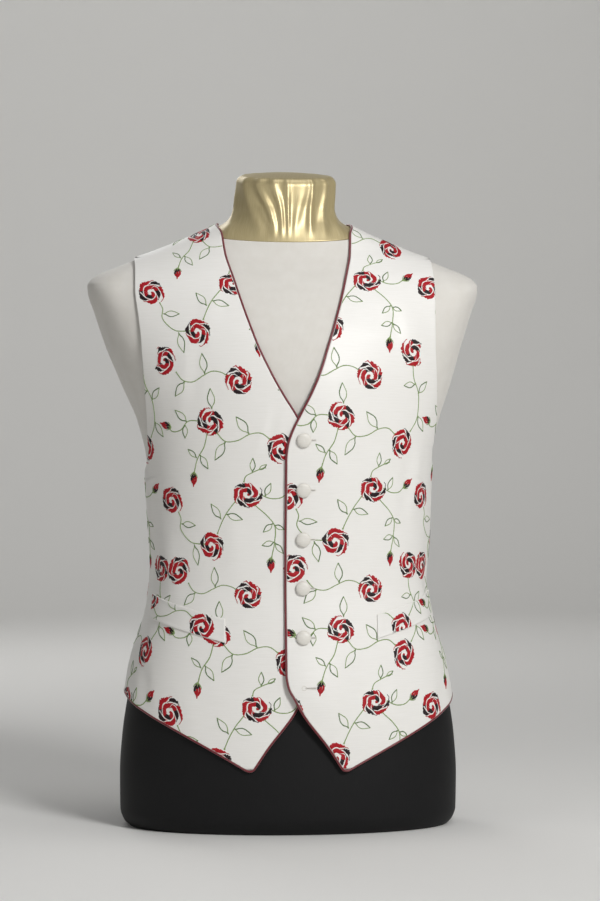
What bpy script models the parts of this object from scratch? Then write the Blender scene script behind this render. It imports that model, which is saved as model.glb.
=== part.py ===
# Embroidered waistcoat, buttoned on a limbless dress form
#
# Lengths are in millimetres. MM turns them into Blender's metres where a mesh is made.
# +X is the wearer's left, -Y the front and +Z up. The origin lies on the floor, under the form.
# Every piece of cloth is a wall laid over the form's own surface. A place on that surface is
# given by its height and by its arc, the distance round the form from the centre front.

import math
from collections import namedtuple
from functools import lru_cache

import bmesh
import bpy
import numpy as np
from mathutils import Matrix, Vector

MM = 0.001

# Cloth
WALL = 2.0  # shell, canvas and lining together
SEAM_GAP = 0.3
REST_GAP = 0.5  # between the form and the cloth where it rests, along the shoulders
EASE_HEIGHTS = [70, 150, 240, 285, 400, 500, 600, 645, 658, 671, 681, 690]
EASE = [1.8, 2.5, 3.5, 3.3, 2.3, 1.8, 1.0, 1.4, 0.1, 0.2, 1.5, 3.2]  # it stands off by this as well

# Front fastening
OVERLAP_LIFT = 3.1  # the over front lies this much further out than the under front
OVERLAP_FULL_ARC = 34.0
OVERLAP_END_ARC = 76.0
OVERLAP_TOP = (480.0, 545.0)  # the lift fades out between these heights
STAND_EXTENSION = 8.0  # the under front reaches this much further across
STAND_HEIGHTS = [150, 205, 400, 452]
STAND_SHARE = [0.0, 1.0, 1.0, 0.0]
FLAP_RISE = 4.8  # the loose corner over the undone button
FLAP_HEIGHT = 160.0
FLAP_REACH_ARC = 40.0
FLAP_REACH_HEIGHT = 44.0

# Buttons
BUTTON_TOP = 442.0
BUTTON_PITCH = 55.5
BUTTON_COUNT = 6  # the lowest is left undone
BUTTON_ARC = 6.0
BUTTON_RADIUS = 8.2
BUTTON_GAP = 0.7  # above and below the over front
BUTTON_DOME = 4.2
HIDDEN_BUTTON_DOME = 2.6
SHANK_RADIUS = 1.3
BUTTON_SIDES = 14
BUTTONHOLE_LENGTH = 15.0
BUTTONHOLE_SLIT = 0.9
EYELET_RADIUS = 1.9

# Piping and pocket welts
PIPING_RADIUS = 1.2
PIPING_GAP = 0.4
PIPING_STEP = 2.5
WELT_FRONT_ARC = {"left": 91.0, "right": 79.0}  # the buttons' line lies midway between the welts
WELT_FOOT = {"left": 217.5, "right": 214.0}  # height of the lower edge at its front end
WELT_LENGTH = 103.0
WELT_HEIGHT = 27.0
WELT_RISE = 25.0
WELT_GAP = 0.7
WELT_WALL = 1.4

# Panel outlines
FRONT_EDGE_HEIGHTS = [74, 99, 135, 153, 166, 180, 420, 436, 450, 468, 491, 515, 552, 589, 620, 654, 690]
FRONT_EDGE_X = [50.5, 34, 6.5, -3.5, -10, -12, -12, -10.3, -6, 2.6, 15.5, 27.5, 42.2, 54.5, 63.5, 72, 75]
ARMHOLE_HEIGHTS = [440, 463, 500, 525, 552, 580, 613, 650]
ARMHOLE_LEFT_X = [160, 162, 163.5, 164, 165, 166, 167.5, 168]
ARMHOLE_RIGHT_X = [160, 162, 164, 165, 166, 169, 173, 172]
ARMHOLE_BACK_X = [156, 161, 165, 167, 168, 169, 170, 170]
TIP_HEIGHT = 74.0
TIP_WIDTH = 5.0
SIDE_HEM = 157.0
HEM_CURVE = {"left": 1.32, "right": 1.5}
UNDERARM = 398.0
ARMHOLE_STRAIGHT = 440.0  # the scoop under the arm ends at this height
SHOULDER_END = 649.5
NECK_TOP = 688.0
NECK_ROUNDING_FROM = 676.0
NECK_ROUNDING_ARC = 11.0
SIDE_SEAM_BEHIND = 18.0  # behind the widest line of the form
SHOULDER_SEAM_BEHIND = 10.0

# Form
LOWER_TOP = 230.0  # where the lower cover meets the body cover, behind the cloth
NECK_SEAM_HEIGHT = 684.0
NECK_SEAM_TILT = 0.30
NECK_AXIS_Y = 10.0
NECK_TOP_TILT = 0.17
NECK_TILT_FROM = 700.0
NECK_ROUND_FROM = 741.0
NECK_CORNER = 9.0
NECK_DOME = 2.5
SHOULDER_END_RADIUS = 34.0
HALF_COLUMNS = 19
FLATTEST_TURN = 0.0025  # per millimetre, it keeps the faces of the flat parts from growing too long

# Rows of the cloth and rings of the form share these heights, so their faces run side by side.
ROWS = [
    74, 78, 83, 90, 98, 107, 117, 127, 136, 143.5, 149, 152.8, 155.4, 157, 168, 182, 198, 216, 236,
    254, 270, 287, 308, 332, 356, 379, 398, 400.5, 405, 411, 419, 429, 440, 457, 475, 493, 511, 529,
    547, 565, 581, 595, 605, 613, 620, 626, 631, 635, 639, 644, 649.5, 650, 657, 664, 671, 677, 682,
    688,
]
FRONT_ROWS = ROWS
BACK_ROWS = ROWS[ROWS.index(SIDE_HEM):]
FRONT_COLUMNS = 12
BACK_COLUMNS = 9
FORM_LOWER_RINGS = [0, 2.5, 7, 14, 30, 60, 100, 140]
FORM_SKIPS = [400.5, 405, 411, 419, 650]
FORM_UPPER_RINGS = [694, 701, 712, 741]

# The form leans to its right by this much above the chest, and the cloth with it.
SWAY_HEIGHTS = [470, 520, 551, 600, 690, 745]
SWAY = [0, -3, -5, -5.5, -5.5, -1.5]

Section = namedtuple("Section", "height half_width front back taper shoulder")
# taper is 0.5 for an ellipse, less for a squarer section and more for a pointed one.
# shoulder is half the thickness of the arm's stump at that height.
SECTIONS = [
    Section(0, 184, 116, 119, 0.42, 0),
    Section(6, 190, 122, 126, 0.42, 0),
    Section(18, 194, 127, 131, 0.42, 0),
    Section(60, 194.5, 128.5, 136, 0.41, 0),
    Section(100, 192, 128, 136, 0.41, 0),
    Section(140, 186.5, 126, 131, 0.41, 0),
    Section(190, 174.5, 121, 119, 0.41, 0),
    Section(240, 160.5, 115, 106, 0.42, 0),
    Section(282, 154, 111, 98, 0.42, 0),
    Section(330, 156, 113, 99, 0.42, 0),
    Section(380, 159.5, 118, 107, 0.42, 0),
    Section(425, 164.5, 123, 117, 0.43, 2),
    Section(465, 174.5, 126, 125, 0.44, 14),
    Section(505, 190, 126.5, 130, 0.47, 34),
    Section(550, 206, 121, 133, 0.52, 48),
    Section(590, 219, 105, 131, 0.60, 52),
    Section(612, 226, 92, 126, 0.65, 48),
    Section(620, 226.5, 87, 123, 0.67, 43),
    Section(627, 222, 82, 120, 0.69, 38),
    Section(633, 213, 77, 117.5, 0.70, 34),
    Section(640, 196, 71.5, 114, 0.70, 29),
    Section(649.5, 172, 65, 108, 0.68, 24),
    Section(660, 145, 59, 101, 0.66, 20),
    Section(670, 120, 55, 94, 0.62, 17),
    Section(680, 94, 52, 86, 0.58, 13),
    Section(686, 79.5, 50.5, 81, 0.55, 10),
    Section(692, 68, 49.5, 77, 0.52, 6),
    Section(700, 61.5, 48.5, 73, 0.50, 2),
    Section(712, 58, 47, 69, 0.50, 0),
    Section(741, 57, 46, 66, 0.50, 0),
]

Fold = namedtuple("Fold", "side arc height reach_arc reach_height rise lean")
# A fold is a soft ridge. lean is how far its arc moves for each millimetre of height.
FOLDS = [
    Fold("right", 196, 372, 24, 92, 3.0, 0.05),
    Fold("right", 236, 190, 30, 66, 3.2, -0.10),
    Fold("right", 150, 300, 26, 60, 1.8, 0.15),
    Fold("left", 200, 340, 24, 84, 2.6, 0.04),
    Fold("left", 234, 190, 30, 62, 2.4, -0.08),
    Fold("left", 140, 556, 30, 70, 2.2, -0.20),
    Fold("left", 430, 300, 30, 110, 3.6, 0.06),
    Fold("left", 360, 290, 26, 90, 3.0, -0.05),
    Fold("left", 300, 330, 24, 70, 2.2, 0.10),
    Fold("right", 440, 305, 28, 105, 3.2, 0.04),
    Fold("right", 372, 285, 26, 95, 3.4, -0.06),
    Fold("right", 305, 325, 24, 75, 2.4, 0.08),
]

COLOURS = {
    "ivory_silk": (0.86, 0.83, 0.78, 0.48, 0.0),
    "ivory_back": (0.84, 0.81, 0.76, 0.35, 0.0),
    "maroon_piping": (0.27, 0.02, 0.03, 0.45, 0.0),
    "form_black": (0.015, 0.015, 0.017, 0.6, 0.0),
    "form_jersey": (0.80, 0.79, 0.78, 0.85, 0.0),
    "form_gold": (0.48, 0.40, 0.21, 0.35, 0.0),
}


# Reading the tables

def curve_slopes(places, values):
    """Slopes that keep a smooth curve through the table from overshooting its values."""
    steps = np.diff(places)
    rises = np.diff(values) / steps
    slopes = np.zeros(len(values))
    slopes[0], slopes[-1] = rises[0], rises[-1]
    for i in range(1, len(values) - 1):
        before, after = rises[i - 1], rises[i]
        if before * after > 0:
            first = 2 * steps[i] + steps[i - 1]
            second = steps[i] + 2 * steps[i - 1]
            slopes[i] = (first + second) / (first / before + second / after)
    return slopes


def read_curve(places, values, at):
    """The value at one place on the smooth curve through a table."""
    places, values = np.asarray(places, float), np.asarray(values, float)
    at = float(np.clip(at, places[0], places[-1]))
    slopes = curve_slopes(places, values)
    i = int(np.clip(np.searchsorted(places, at) - 1, 0, len(places) - 2))
    step = places[i + 1] - places[i]
    t = (at - places[i]) / step
    return (
        (2 * t**3 - 3 * t**2 + 1) * values[i]
        + (t**3 - 2 * t**2 + t) * step * slopes[i]
        + (3 * t**2 - 2 * t**3) * values[i + 1]
        + (t**3 - t**2) * step * slopes[i + 1]
    )


def fade(value, start, end):
    """0 at start, 1 at end, smooth between."""
    t = np.clip((value - start) / (end - start), 0, 1)
    return t * t * (3 - 2 * t)


# The form's surface

@lru_cache(maxsize=None)
def section_outline(height):
    """Arc, x and y of points round one half of the form, from centre front to centre back."""
    heights = [s.height for s in SECTIONS]
    size = {
        name: read_curve(heights, [getattr(s, name) for s in SECTIONS], height)
        for name in Section._fields[1:]
    }
    angles = np.linspace(0, math.pi, 241)
    across = np.sin(angles)
    x = size["half_width"] * across
    depth = np.where(angles <= math.pi / 2, size["front"], size["back"])
    lens = depth * np.maximum(1 - across**2, 0) ** size["taper"]
    past = np.clip((x - size["half_width"] + SHOULDER_END_RADIUS) / SHOULDER_END_RADIUS, 0, 1)
    stump = size["shoulder"] * np.sqrt(1 - past**2)
    y = (lens**4 + stump**4) ** 0.25 * np.where(angles <= math.pi / 2, -1, 1)
    arc = np.concatenate([[0], np.cumsum(np.hypot(np.diff(x), np.diff(y)))])
    return arc, x, y


def widest_arc(height):
    arc, x, _ = section_outline(round(height, 4))
    return arc[int(np.argmax(x))]


def back_arc(height):
    return section_outline(round(height, 4))[0][-1]


def arc_at_x(height, x, behind=False):
    """The arc of the point at that x, on the front of the form or behind."""
    arc, xs, _ = section_outline(round(height, 4))
    half = len(xs) // 2 + 1
    if behind:
        return float(np.interp(-abs(x), -xs[half - 1:], arc[half - 1:]))
    return math.copysign(float(np.interp(abs(x), xs[:half], arc[:half])), x)


def form_points(height, arcs):
    arc, x, y = section_outline(round(height, 4))
    arcs = np.asarray(arcs, float)
    return np.stack(
        [
            np.interp(np.abs(arcs), arc, x) * np.where(arcs < 0, -1, 1),
            np.interp(np.abs(arcs), arc, y),
            np.full(arcs.shape, height),
        ],
        axis=-1,
    )


def form_normals(height, arcs):
    """Unit vectors that point out of the form."""
    arcs = np.asarray(arcs, float)
    along = form_points(height, arcs + 2) - form_points(height, arcs - 2)
    up = form_points(height + 1, arcs) - form_points(height - 1, arcs)
    normals = np.cross(along, up)
    return normals / np.linalg.norm(normals, axis=-1, keepdims=True)


def even_arcs(height, first, last, count):
    """Arcs from first to last that lie closer where the form turns more tightly."""
    arc, x, y = section_outline(round(height, 4))
    places = np.arange(0, arc[-1], 2.0)
    window = 8.0
    ahead = np.interp(places + window, arc, x), np.interp(places + window, arc, y)
    here = np.interp(places, arc, x), np.interp(places, arc, y)
    behind = np.interp(places - window, arc, x), np.interp(places - window, arc, y)
    turn = np.hypot(ahead[0] - 2 * here[0] + behind[0], ahead[1] - 2 * here[1] + behind[1])
    weight = np.sqrt(turn / window**2 + FLATTEST_TURN)
    total = np.concatenate([[0], np.cumsum((weight[1:] + weight[:-1]) / 2)])
    first_total, last_total = (
        math.copysign(np.interp(abs(place), places, total), place) for place in (first, last)
    )
    targets = np.linspace(first_total, last_total, count + 1)
    arcs = np.interp(np.abs(targets), total, places) * np.where(targets < 0, -1, 1)
    arcs[0], arcs[-1] = first, last
    return arcs


# Cloth over the form

def fold_rise(panel, height, arcs):
    total = np.zeros(np.shape(arcs))
    for fold in FOLDS:
        if not panel.endswith(fold.side):
            continue
        up = abs(height - fold.height) / fold.reach_height
        if up >= 1:
            continue
        across = (arcs - fold.arc - fold.lean * (height - fold.height)) / fold.reach_arc
        hump = np.cos(np.clip(across, -1, 1) * math.pi / 2) ** 2
        total += fold.rise * hump * math.cos(up * math.pi / 2) ** 2
    return total


def over_lift(height, arcs):
    """How far the over front stands out beyond the under front, with its loose lower corner."""
    step = OVERLAP_LIFT * (1 - fade(arcs, OVERLAP_FULL_ARC, OVERLAP_END_ARC))
    step = step * (1 - fade(height, *OVERLAP_TOP))
    across = (arcs - BUTTON_ARC) / FLAP_REACH_ARC
    up = (height - FLAP_HEIGHT) / FLAP_REACH_HEIGHT
    return step + FLAP_RISE * np.exp(-(across**2) - up**2)


def cloth_gap(panel, height, arcs):
    """From the form to the inner face of a panel."""
    arcs = np.asarray(arcs, float)
    gap = REST_GAP + read_curve(EASE_HEIGHTS, EASE, height) + fold_rise(panel, height, arcs)
    if panel == "front_left":
        gap = gap + over_lift(height, arcs)
    return gap


def mirrored(points, panel):
    """The wearer's right side is the left side with x turned round."""
    return points * np.array([-1, 1, 1]) if panel.endswith("right") else points


def swayed(points, height):
    return points + np.array([read_curve(SWAY_HEIGHTS, SWAY, height), 0, 0])


def cloth_points(panel, height, arcs, out):
    """Points of a panel, out millimetres beyond its inner face."""
    normals = form_normals(height, arcs)
    distance = cloth_gap(panel, height, arcs) + out
    points = mirrored(form_points(height, arcs) + normals * distance[..., None], panel)
    return swayed(points, height)


# Panel outlines

def front_edge_arc(panel, height):
    """Tip, cut-away, front edge and neckline of a front."""
    x = read_curve(FRONT_EDGE_HEIGHTS, FRONT_EDGE_X, height)
    if panel == "front_right":
        x -= STAND_EXTENSION * read_curve(STAND_HEIGHTS, STAND_SHARE, height)
    turn = max(0.0, height - NECK_ROUNDING_FROM) / (NECK_TOP - NECK_ROUNDING_FROM)
    return arc_at_x(height, x) + NECK_ROUNDING_ARC * turn**2


def side_seam_arc(height, offset):
    return widest_arc(height) + SIDE_SEAM_BEHIND + offset


def armhole_arc(height, xs, behind, offset):
    """Side seam, then the scoop under the arm, then the armhole's upright part."""
    if height <= UNDERARM:
        return side_seam_arc(height, offset)
    if height >= ARMHOLE_STRAIGHT:
        return arc_at_x(height, read_curve(ARMHOLE_HEIGHTS, xs, height), behind)
    left = 1 - (height - UNDERARM) / (ARMHOLE_STRAIGHT - UNDERARM)
    start = SIDE_SEAM_BEHIND + offset
    end = arc_at_x(ARMHOLE_STRAIGHT, xs[0], behind) - widest_arc(ARMHOLE_STRAIGHT)
    return widest_arc(height) + start + (end - start) * math.sqrt(max(0.0, 1 - left**2))


def front_outer_arc(panel, height):
    """Hem, side seam, armhole and shoulder seam of a front."""
    seam = -SEAM_GAP / 2
    if height < SIDE_HEM:
        done = (height - TIP_HEIGHT) / (SIDE_HEM - TIP_HEIGHT)
        tip = front_edge_arc("front_left", TIP_HEIGHT) + TIP_WIDTH
        reach = side_seam_arc(SIDE_HEM, seam) - tip
        return tip + reach * (1 - (1 - done) ** (1 / HEM_CURVE[panel.removeprefix("front_")]))
    if height > SHOULDER_END:
        return widest_arc(height) + SHOULDER_SEAM_BEHIND + seam
    xs = ARMHOLE_LEFT_X if panel == "front_left" else ARMHOLE_RIGHT_X
    return armhole_arc(height, xs, False, seam)


def back_outer_arc(height):
    """Side seam, armhole and shoulder seam of a back."""
    seam = SEAM_GAP / 2
    shoulder_seam = widest_arc(height) + SHOULDER_SEAM_BEHIND + seam
    if height > SHOULDER_END:
        return shoulder_seam
    return max(armhole_arc(height, ARMHOLE_BACK_X, True, seam), shoulder_seam)


def back_centre_arc(height):
    return back_arc(height) - SEAM_GAP / 2


# Meshes

def material(name):
    found = bpy.data.materials.get(name)
    if found:
        return found
    red, green, blue, roughness, metallic = COLOURS[name]
    made = bpy.data.materials.new(name)
    made.use_nodes = True
    shader = made.node_tree.nodes["Principled BSDF"]
    shader.inputs["Base Color"].default_value = (red, green, blue, 1)
    shader.inputs["Roughness"].default_value = roughness
    shader.inputs["Metallic"].default_value = metallic
    return made


def add_object(name, data, finish):
    data.materials.append(material(finish))
    made = bpy.data.objects.new(name, data)
    bpy.context.scene.collection.objects.link(made)
    return made


def add_mesh(name, mesh_in_progress, finish, sharp_degrees=50):
    bmesh.ops.recalc_face_normals(mesh_in_progress, faces=mesh_in_progress.faces)
    mesh = bpy.data.meshes.new(name)
    mesh_in_progress.to_mesh(mesh)
    mesh_in_progress.free()
    mesh.shade_smooth()
    mesh.set_sharp_from_angle(angle=math.radians(sharp_degrees))
    return add_object(name, mesh, finish)


def grid_vertices(bm, points):
    return [[bm.verts.new(Vector(p) * MM) for p in row] for row in points]


def join_grids(bm, inner, outer):
    """Two grids of vertices become one closed wall."""
    rows, columns = len(inner), len(inner[0])
    for i in range(rows - 1):
        for j in range(columns - 1):
            bm.faces.new((outer[i][j], outer[i][j + 1], outer[i + 1][j + 1], outer[i + 1][j]))
            bm.faces.new((inner[i][j], inner[i + 1][j], inner[i + 1][j + 1], inner[i][j + 1]))
    for i in range(rows - 1):
        for j in (0, columns - 1):
            bm.faces.new((inner[i][j], inner[i + 1][j], outer[i + 1][j], outer[i][j]))
    for j in range(columns - 1):
        for i in (0, rows - 1):
            bm.faces.new((inner[i][j], inner[i][j + 1], outer[i][j + 1], outer[i][j]))


def panel_grid(panel, rows, columns, first_arc, last_arc, out):
    """A panel's points, row by row from the hem up, from its first edge to its last."""
    return np.array([
        cloth_points(panel, height, even_arcs(height, first_arc(height), last_arc(height), columns), out)
        for height in rows
    ])


def make_panel(name, rows, columns, first_arc, last_arc, finish):
    inner = panel_grid(name, rows, columns, first_arc, last_arc, 0)
    outer = panel_grid(name, rows, columns, first_arc, last_arc, WALL)
    bm = bmesh.new()
    join_grids(bm, grid_vertices(bm, inner), grid_vertices(bm, outer))
    return add_mesh(name, bm, finish), inner, outer


def edge_cord(edge, across, distance):
    """Points beside an edge. across goes through the cloth and is turned by the edge's direction."""
    steps = np.diff(edge, axis=0)
    steps /= np.linalg.norm(steps, axis=1, keepdims=True)
    tangents = np.vstack([steps[:1], steps]) + np.vstack([steps, steps[-1:]])
    length = np.linalg.norm(tangents, axis=1, keepdims=True)
    outward = np.cross(tangents, across)
    outward /= np.linalg.norm(outward, axis=1, keepdims=True)
    return edge + outward * distance * np.clip(2 / length, 1, 1.4)


def make_piping(name, inner, outer):
    """A cord along the neckline, front edge and hem, beside the panel's own edge points."""
    hem_rows = FRONT_ROWS.index(SIDE_HEM) + 1
    inner_edge, outer_edge = (
        np.concatenate([grid[-1, :0:-1], grid[:0:-1, 0], grid[0, :-1], grid[:hem_rows, -1]])
        for grid in (inner, outer)
    )
    edge = (inner_edge + outer_edge) / 2
    across = outer_edge - inner_edge
    if name.endswith("right"):
        across = -across
    keep = [0]
    for i in range(1, len(edge)):
        if np.linalg.norm(edge[i] - edge[keep[-1]]) > PIPING_STEP:
            keep.append(i)
    centre = edge_cord(edge[keep], across[keep], PIPING_RADIUS + PIPING_GAP)
    return add_object(name, cord_curve(name, centre, PIPING_RADIUS), "maroon_piping")


def cord_curve(name, points, radius):
    curve = bpy.data.curves.new(name, "CURVE")
    curve.dimensions = "3D"
    curve.bevel_depth = radius * MM
    curve.bevel_resolution = 1
    curve.use_fill_caps = True
    spline = curve.splines.new("POLY")
    spline.points.add(len(points) - 1)
    for point, place in zip(spline.points, points):
        point.co = (*(Vector(place) * MM), 1)
    return curve


def make_welt(name, panel):
    """A pocket welt, laid on its front. Its ends are upright and its long edges rise to the side."""
    steps, layers = 9, 3
    front_arc, foot = (
        table[panel.removeprefix("front_")] for table in (WELT_FRONT_ARC, WELT_FOOT)
    )
    middle = foot + (WELT_RISE + WELT_HEIGHT) / 2
    arcs = even_arcs(middle, front_arc, front_arc + WELT_LENGTH, steps)
    faces = []
    for out in (WALL + WELT_GAP, WALL + WELT_GAP + WELT_WALL):
        rows = []
        for i in range(layers + 1):
            row = []
            for arc in arcs:
                along = (arc - front_arc) / WELT_LENGTH
                height = foot + WELT_RISE * along + WELT_HEIGHT * i / layers
                row.append(cloth_points(panel, height, [arc], out)[0])
            rows.append(row)
        faces.append(np.array(rows))
    bm = bmesh.new()
    join_grids(bm, grid_vertices(bm, faces[0]), grid_vertices(bm, faces[1]))
    return add_mesh(name, bm, "ivory_silk")


def turned_solid(bm, profile, sides):
    """Closed solid of revolution about Z, from (radius, height) pairs that start and end off the axis."""
    rings = []
    for radius, height in profile:
        turn = [2 * math.pi * k / sides for k in range(sides)]
        rings.append([
            bm.verts.new((radius * math.cos(a) * MM, radius * math.sin(a) * MM, height * MM))
            for a in turn
        ])
    for low, high in zip(rings, rings[1:]):
        for k in range(sides):
            n = (k + 1) % sides
            bm.faces.new((low[k], low[n], high[n], high[k]))
    bm.faces.new(rings[0])
    bm.faces.new(rings[-1])


def fastening_matrix(height, panel, out):
    """Places a button or a buttonhole: its Z points out of the cloth and its X across to the side."""
    arc = BUTTON_ARC if panel == "front_left" else -BUTTON_ARC
    place = cloth_points(panel, height, [arc], out)[0]
    normal = Vector(mirrored(form_normals(height, [arc])[0], panel))
    across = Vector((1, 0, 0))
    across = (across - normal * across.dot(normal)).normalized()
    up = normal.cross(across)
    turn = Matrix((across, up, normal)).transposed().to_4x4()
    return Matrix.Translation(Vector(place) * MM) @ turn


def button_heights():
    return [BUTTON_TOP - BUTTON_PITCH * i for i in range(BUTTON_COUNT)]


def make_button(number, height):
    """A cloth-covered button whose shank stands on the under front."""
    undone = number == BUTTON_COUNT
    reach = 0.0 if undone else float(over_lift(height, BUTTON_ARC))
    foot = SEAM_GAP + 0.2
    back = reach + BUTTON_GAP
    dome = HIDDEN_BUTTON_DOME if undone else BUTTON_DOME
    profile = [
        (SHANK_RADIUS, foot),
        (SHANK_RADIUS, back),
        (BUTTON_RADIUS * 0.84, back),
        (BUTTON_RADIUS, back + dome * 0.30),
        (BUTTON_RADIUS * 0.93, back + dome * 0.62),
        (BUTTON_RADIUS * 0.62, back + dome * 0.91),
        (BUTTON_RADIUS * 0.22, back + dome),
    ]
    bm = bmesh.new()
    turned_solid(bm, profile, BUTTON_SIDES)
    made = add_mesh(f"button_{number}", bm, "ivory_silk")
    made.matrix_world = fastening_matrix(height, "front_right", WALL)
    return made


def make_buttonhole_cutter(heights):
    """Keyhole buttonholes in one cutter: an eyelet round the shank and a slit towards the side."""
    bm = bmesh.new()
    half, depth = BUTTONHOLE_SLIT / 2, WALL * 3
    start = math.asin(half / EYELET_RADIUS)
    turns = [start + (2 * math.pi - 2 * start) * k / 12 for k in range(13)]
    outline = [(EYELET_RADIUS * math.cos(a), EYELET_RADIUS * math.sin(a)) for a in turns]
    outline += [(BUTTONHOLE_LENGTH, -half), (BUTTONHOLE_LENGTH, half)]
    for height in heights:
        matrix = fastening_matrix(height, "front_left", WALL / 2)
        ends = [
            [bm.verts.new(matrix @ (Vector((x, y, z)) * MM)) for x, y in outline]
            for z in (-depth / 2, depth / 2)
        ]
        for k in range(len(outline)):
            n = (k + 1) % len(outline)
            bm.faces.new((ends[0][k], ends[0][n], ends[1][n], ends[1][k]))
        bm.faces.new(ends[0])
        bm.faces.new(ends[1])
    cutter = add_mesh("buttonhole_cutter", bm, "ivory_silk")
    cutter.hide_render = True
    cutter.display_type = "WIRE"
    return cutter


# The dress form

def form_ring(height, inset=0.0, rise=0.0):
    """One ring round the form. inset draws it towards the neck's axis, for the rounded top."""
    left = form_points(height, even_arcs(height, 0, back_arc(height), HALF_COLUMNS))
    right = left[-2:0:-1] * np.array([-1, 1, 1])
    ring = np.concatenate([left, right])
    axis = np.array([0, NECK_AXIS_Y, 0])
    if inset:
        flat = ring - axis
        reach = np.hypot(flat[:, 0], flat[:, 1])
        flat[:, :2] *= ((reach - inset) / reach)[:, None]
        ring = flat + axis
    ring[:, 2] += rise
    tilt = NECK_TOP_TILT * fade(height, NECK_TILT_FROM, NECK_ROUND_FROM)
    ring[:, 2] += tilt * (ring[:, 1] - NECK_AXIS_Y)
    return swayed(ring, height)


def form_rings():
    shared = [h for h in ROWS if h > SIDE_HEM and h not in FORM_SKIPS]
    rings = [form_ring(height) for height in FORM_LOWER_RINGS + shared + FORM_UPPER_RINGS]
    for degrees in (30, 60, 90):
        turn = math.radians(degrees)
        rings.append(form_ring(
            NECK_ROUND_FROM, NECK_CORNER * (1 - math.cos(turn)), NECK_CORNER * math.sin(turn)
        ))
    rings.append(form_ring(NECK_ROUND_FROM, NECK_CORNER * 3, NECK_CORNER + NECK_DOME))
    return rings


def form_mesh():
    bm = bmesh.new()
    rings = [[bm.verts.new(Vector(p) * MM) for p in ring] for ring in form_rings()]
    count = len(rings[0])
    for low, high in zip(rings, rings[1:]):
        for k in range(count):
            n = (k + 1) % count
            bm.faces.new((low[k], low[n], high[n], high[k]))
    bm.faces.new(rings[0])
    bm.faces.new(rings[-1])
    bmesh.ops.recalc_face_normals(bm, faces=bm.faces)
    return bm


def cut_away(bm, height, tilt, keep_above):
    """Cuts the form by a plane across it, keeps one side and closes it."""
    normal = Vector((0, -tilt, 1)).normalized()
    done = bmesh.ops.bisect_plane(
        bm,
        geom=bm.verts[:] + bm.edges[:] + bm.faces[:],
        plane_co=Vector((0, 0, height)) * MM,
        plane_no=normal,
        clear_inner=keep_above,
        clear_outer=not keep_above,
    )
    rim = [e for e in done["geom_cut"] if isinstance(e, bmesh.types.BMEdge)]
    bmesh.ops.holes_fill(bm, edges=rim)


def make_form():
    lower = form_mesh()
    cut_away(lower, LOWER_TOP, 0, False)
    add_mesh("form_lower", lower, "form_black")
    body = form_mesh()
    cut_away(body, LOWER_TOP + SEAM_GAP, 0, True)
    cut_away(body, NECK_SEAM_HEIGHT - SEAM_GAP, NECK_SEAM_TILT, False)
    add_mesh("form_body", body, "form_jersey")
    neck = form_mesh()
    cut_away(neck, NECK_SEAM_HEIGHT, NECK_SEAM_TILT, True)
    add_mesh("form_neck", neck, "form_gold")


def make_fronts():
    for side in ("left", "right"):
        panel = f"front_{side}"
        made, inner, outer = make_panel(
            panel,
            FRONT_ROWS,
            FRONT_COLUMNS,
            lambda height, panel=panel: front_edge_arc(panel, height),
            lambda height, panel=panel: front_outer_arc(panel, height),
            "ivory_silk",
        )
        make_piping(f"piping_{side}", inner, outer)
        make_welt(f"welt_{side}", panel)
        if side == "left":
            cut = made.modifiers.new("buttonholes", "BOOLEAN")
            cut.operation = "DIFFERENCE"
            cut.solver = "EXACT"
            cut.object = make_buttonhole_cutter(button_heights())


def make_backs():
    for side in ("left", "right"):
        make_panel(
            f"back_{side}", BACK_ROWS, BACK_COLUMNS, back_outer_arc, back_centre_arc, "ivory_back"
        )


def main():
    for old in list(bpy.data.objects):
        bpy.data.objects.remove(old)
    make_form()
    make_backs()
    make_fronts()
    for number, height in enumerate(button_heights(), 1):
        make_button(number, height)


main()
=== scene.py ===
import math
from functools import lru_cache

import bpy
import numpy as np
from mathutils import Matrix, Vector
from mathutils.kdtree import KDTree


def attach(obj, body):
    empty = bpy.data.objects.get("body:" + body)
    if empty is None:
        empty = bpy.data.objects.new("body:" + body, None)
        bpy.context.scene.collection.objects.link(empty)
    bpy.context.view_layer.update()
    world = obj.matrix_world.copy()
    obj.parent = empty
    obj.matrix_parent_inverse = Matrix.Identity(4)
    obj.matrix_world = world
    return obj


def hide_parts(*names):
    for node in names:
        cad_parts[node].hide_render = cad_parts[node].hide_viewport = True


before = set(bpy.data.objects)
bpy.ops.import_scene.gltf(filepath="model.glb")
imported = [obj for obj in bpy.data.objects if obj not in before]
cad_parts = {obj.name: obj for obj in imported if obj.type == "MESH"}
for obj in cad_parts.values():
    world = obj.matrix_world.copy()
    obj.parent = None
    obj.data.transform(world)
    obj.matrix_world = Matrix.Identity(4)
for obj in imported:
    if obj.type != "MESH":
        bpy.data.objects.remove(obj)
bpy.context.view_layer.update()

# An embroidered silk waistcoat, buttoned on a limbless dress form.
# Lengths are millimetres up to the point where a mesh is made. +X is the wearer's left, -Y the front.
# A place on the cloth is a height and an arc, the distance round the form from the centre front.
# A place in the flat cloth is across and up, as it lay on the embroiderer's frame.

mm = 0.001


# small helpers for tables, meshes and nodes

def hermite(t, span, start, startSlope, end, endSlope):
    # the cubic between two values that leaves and arrives at the given slopes
    return (
        (2 * t**3 - 3 * t**2 + 1) * start + (t**3 - 2 * t**2 + t) * span * startSlope
        + (3 * t**2 - 2 * t**3) * end + (t**3 - t**2) * span * endSlope
    )


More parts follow.
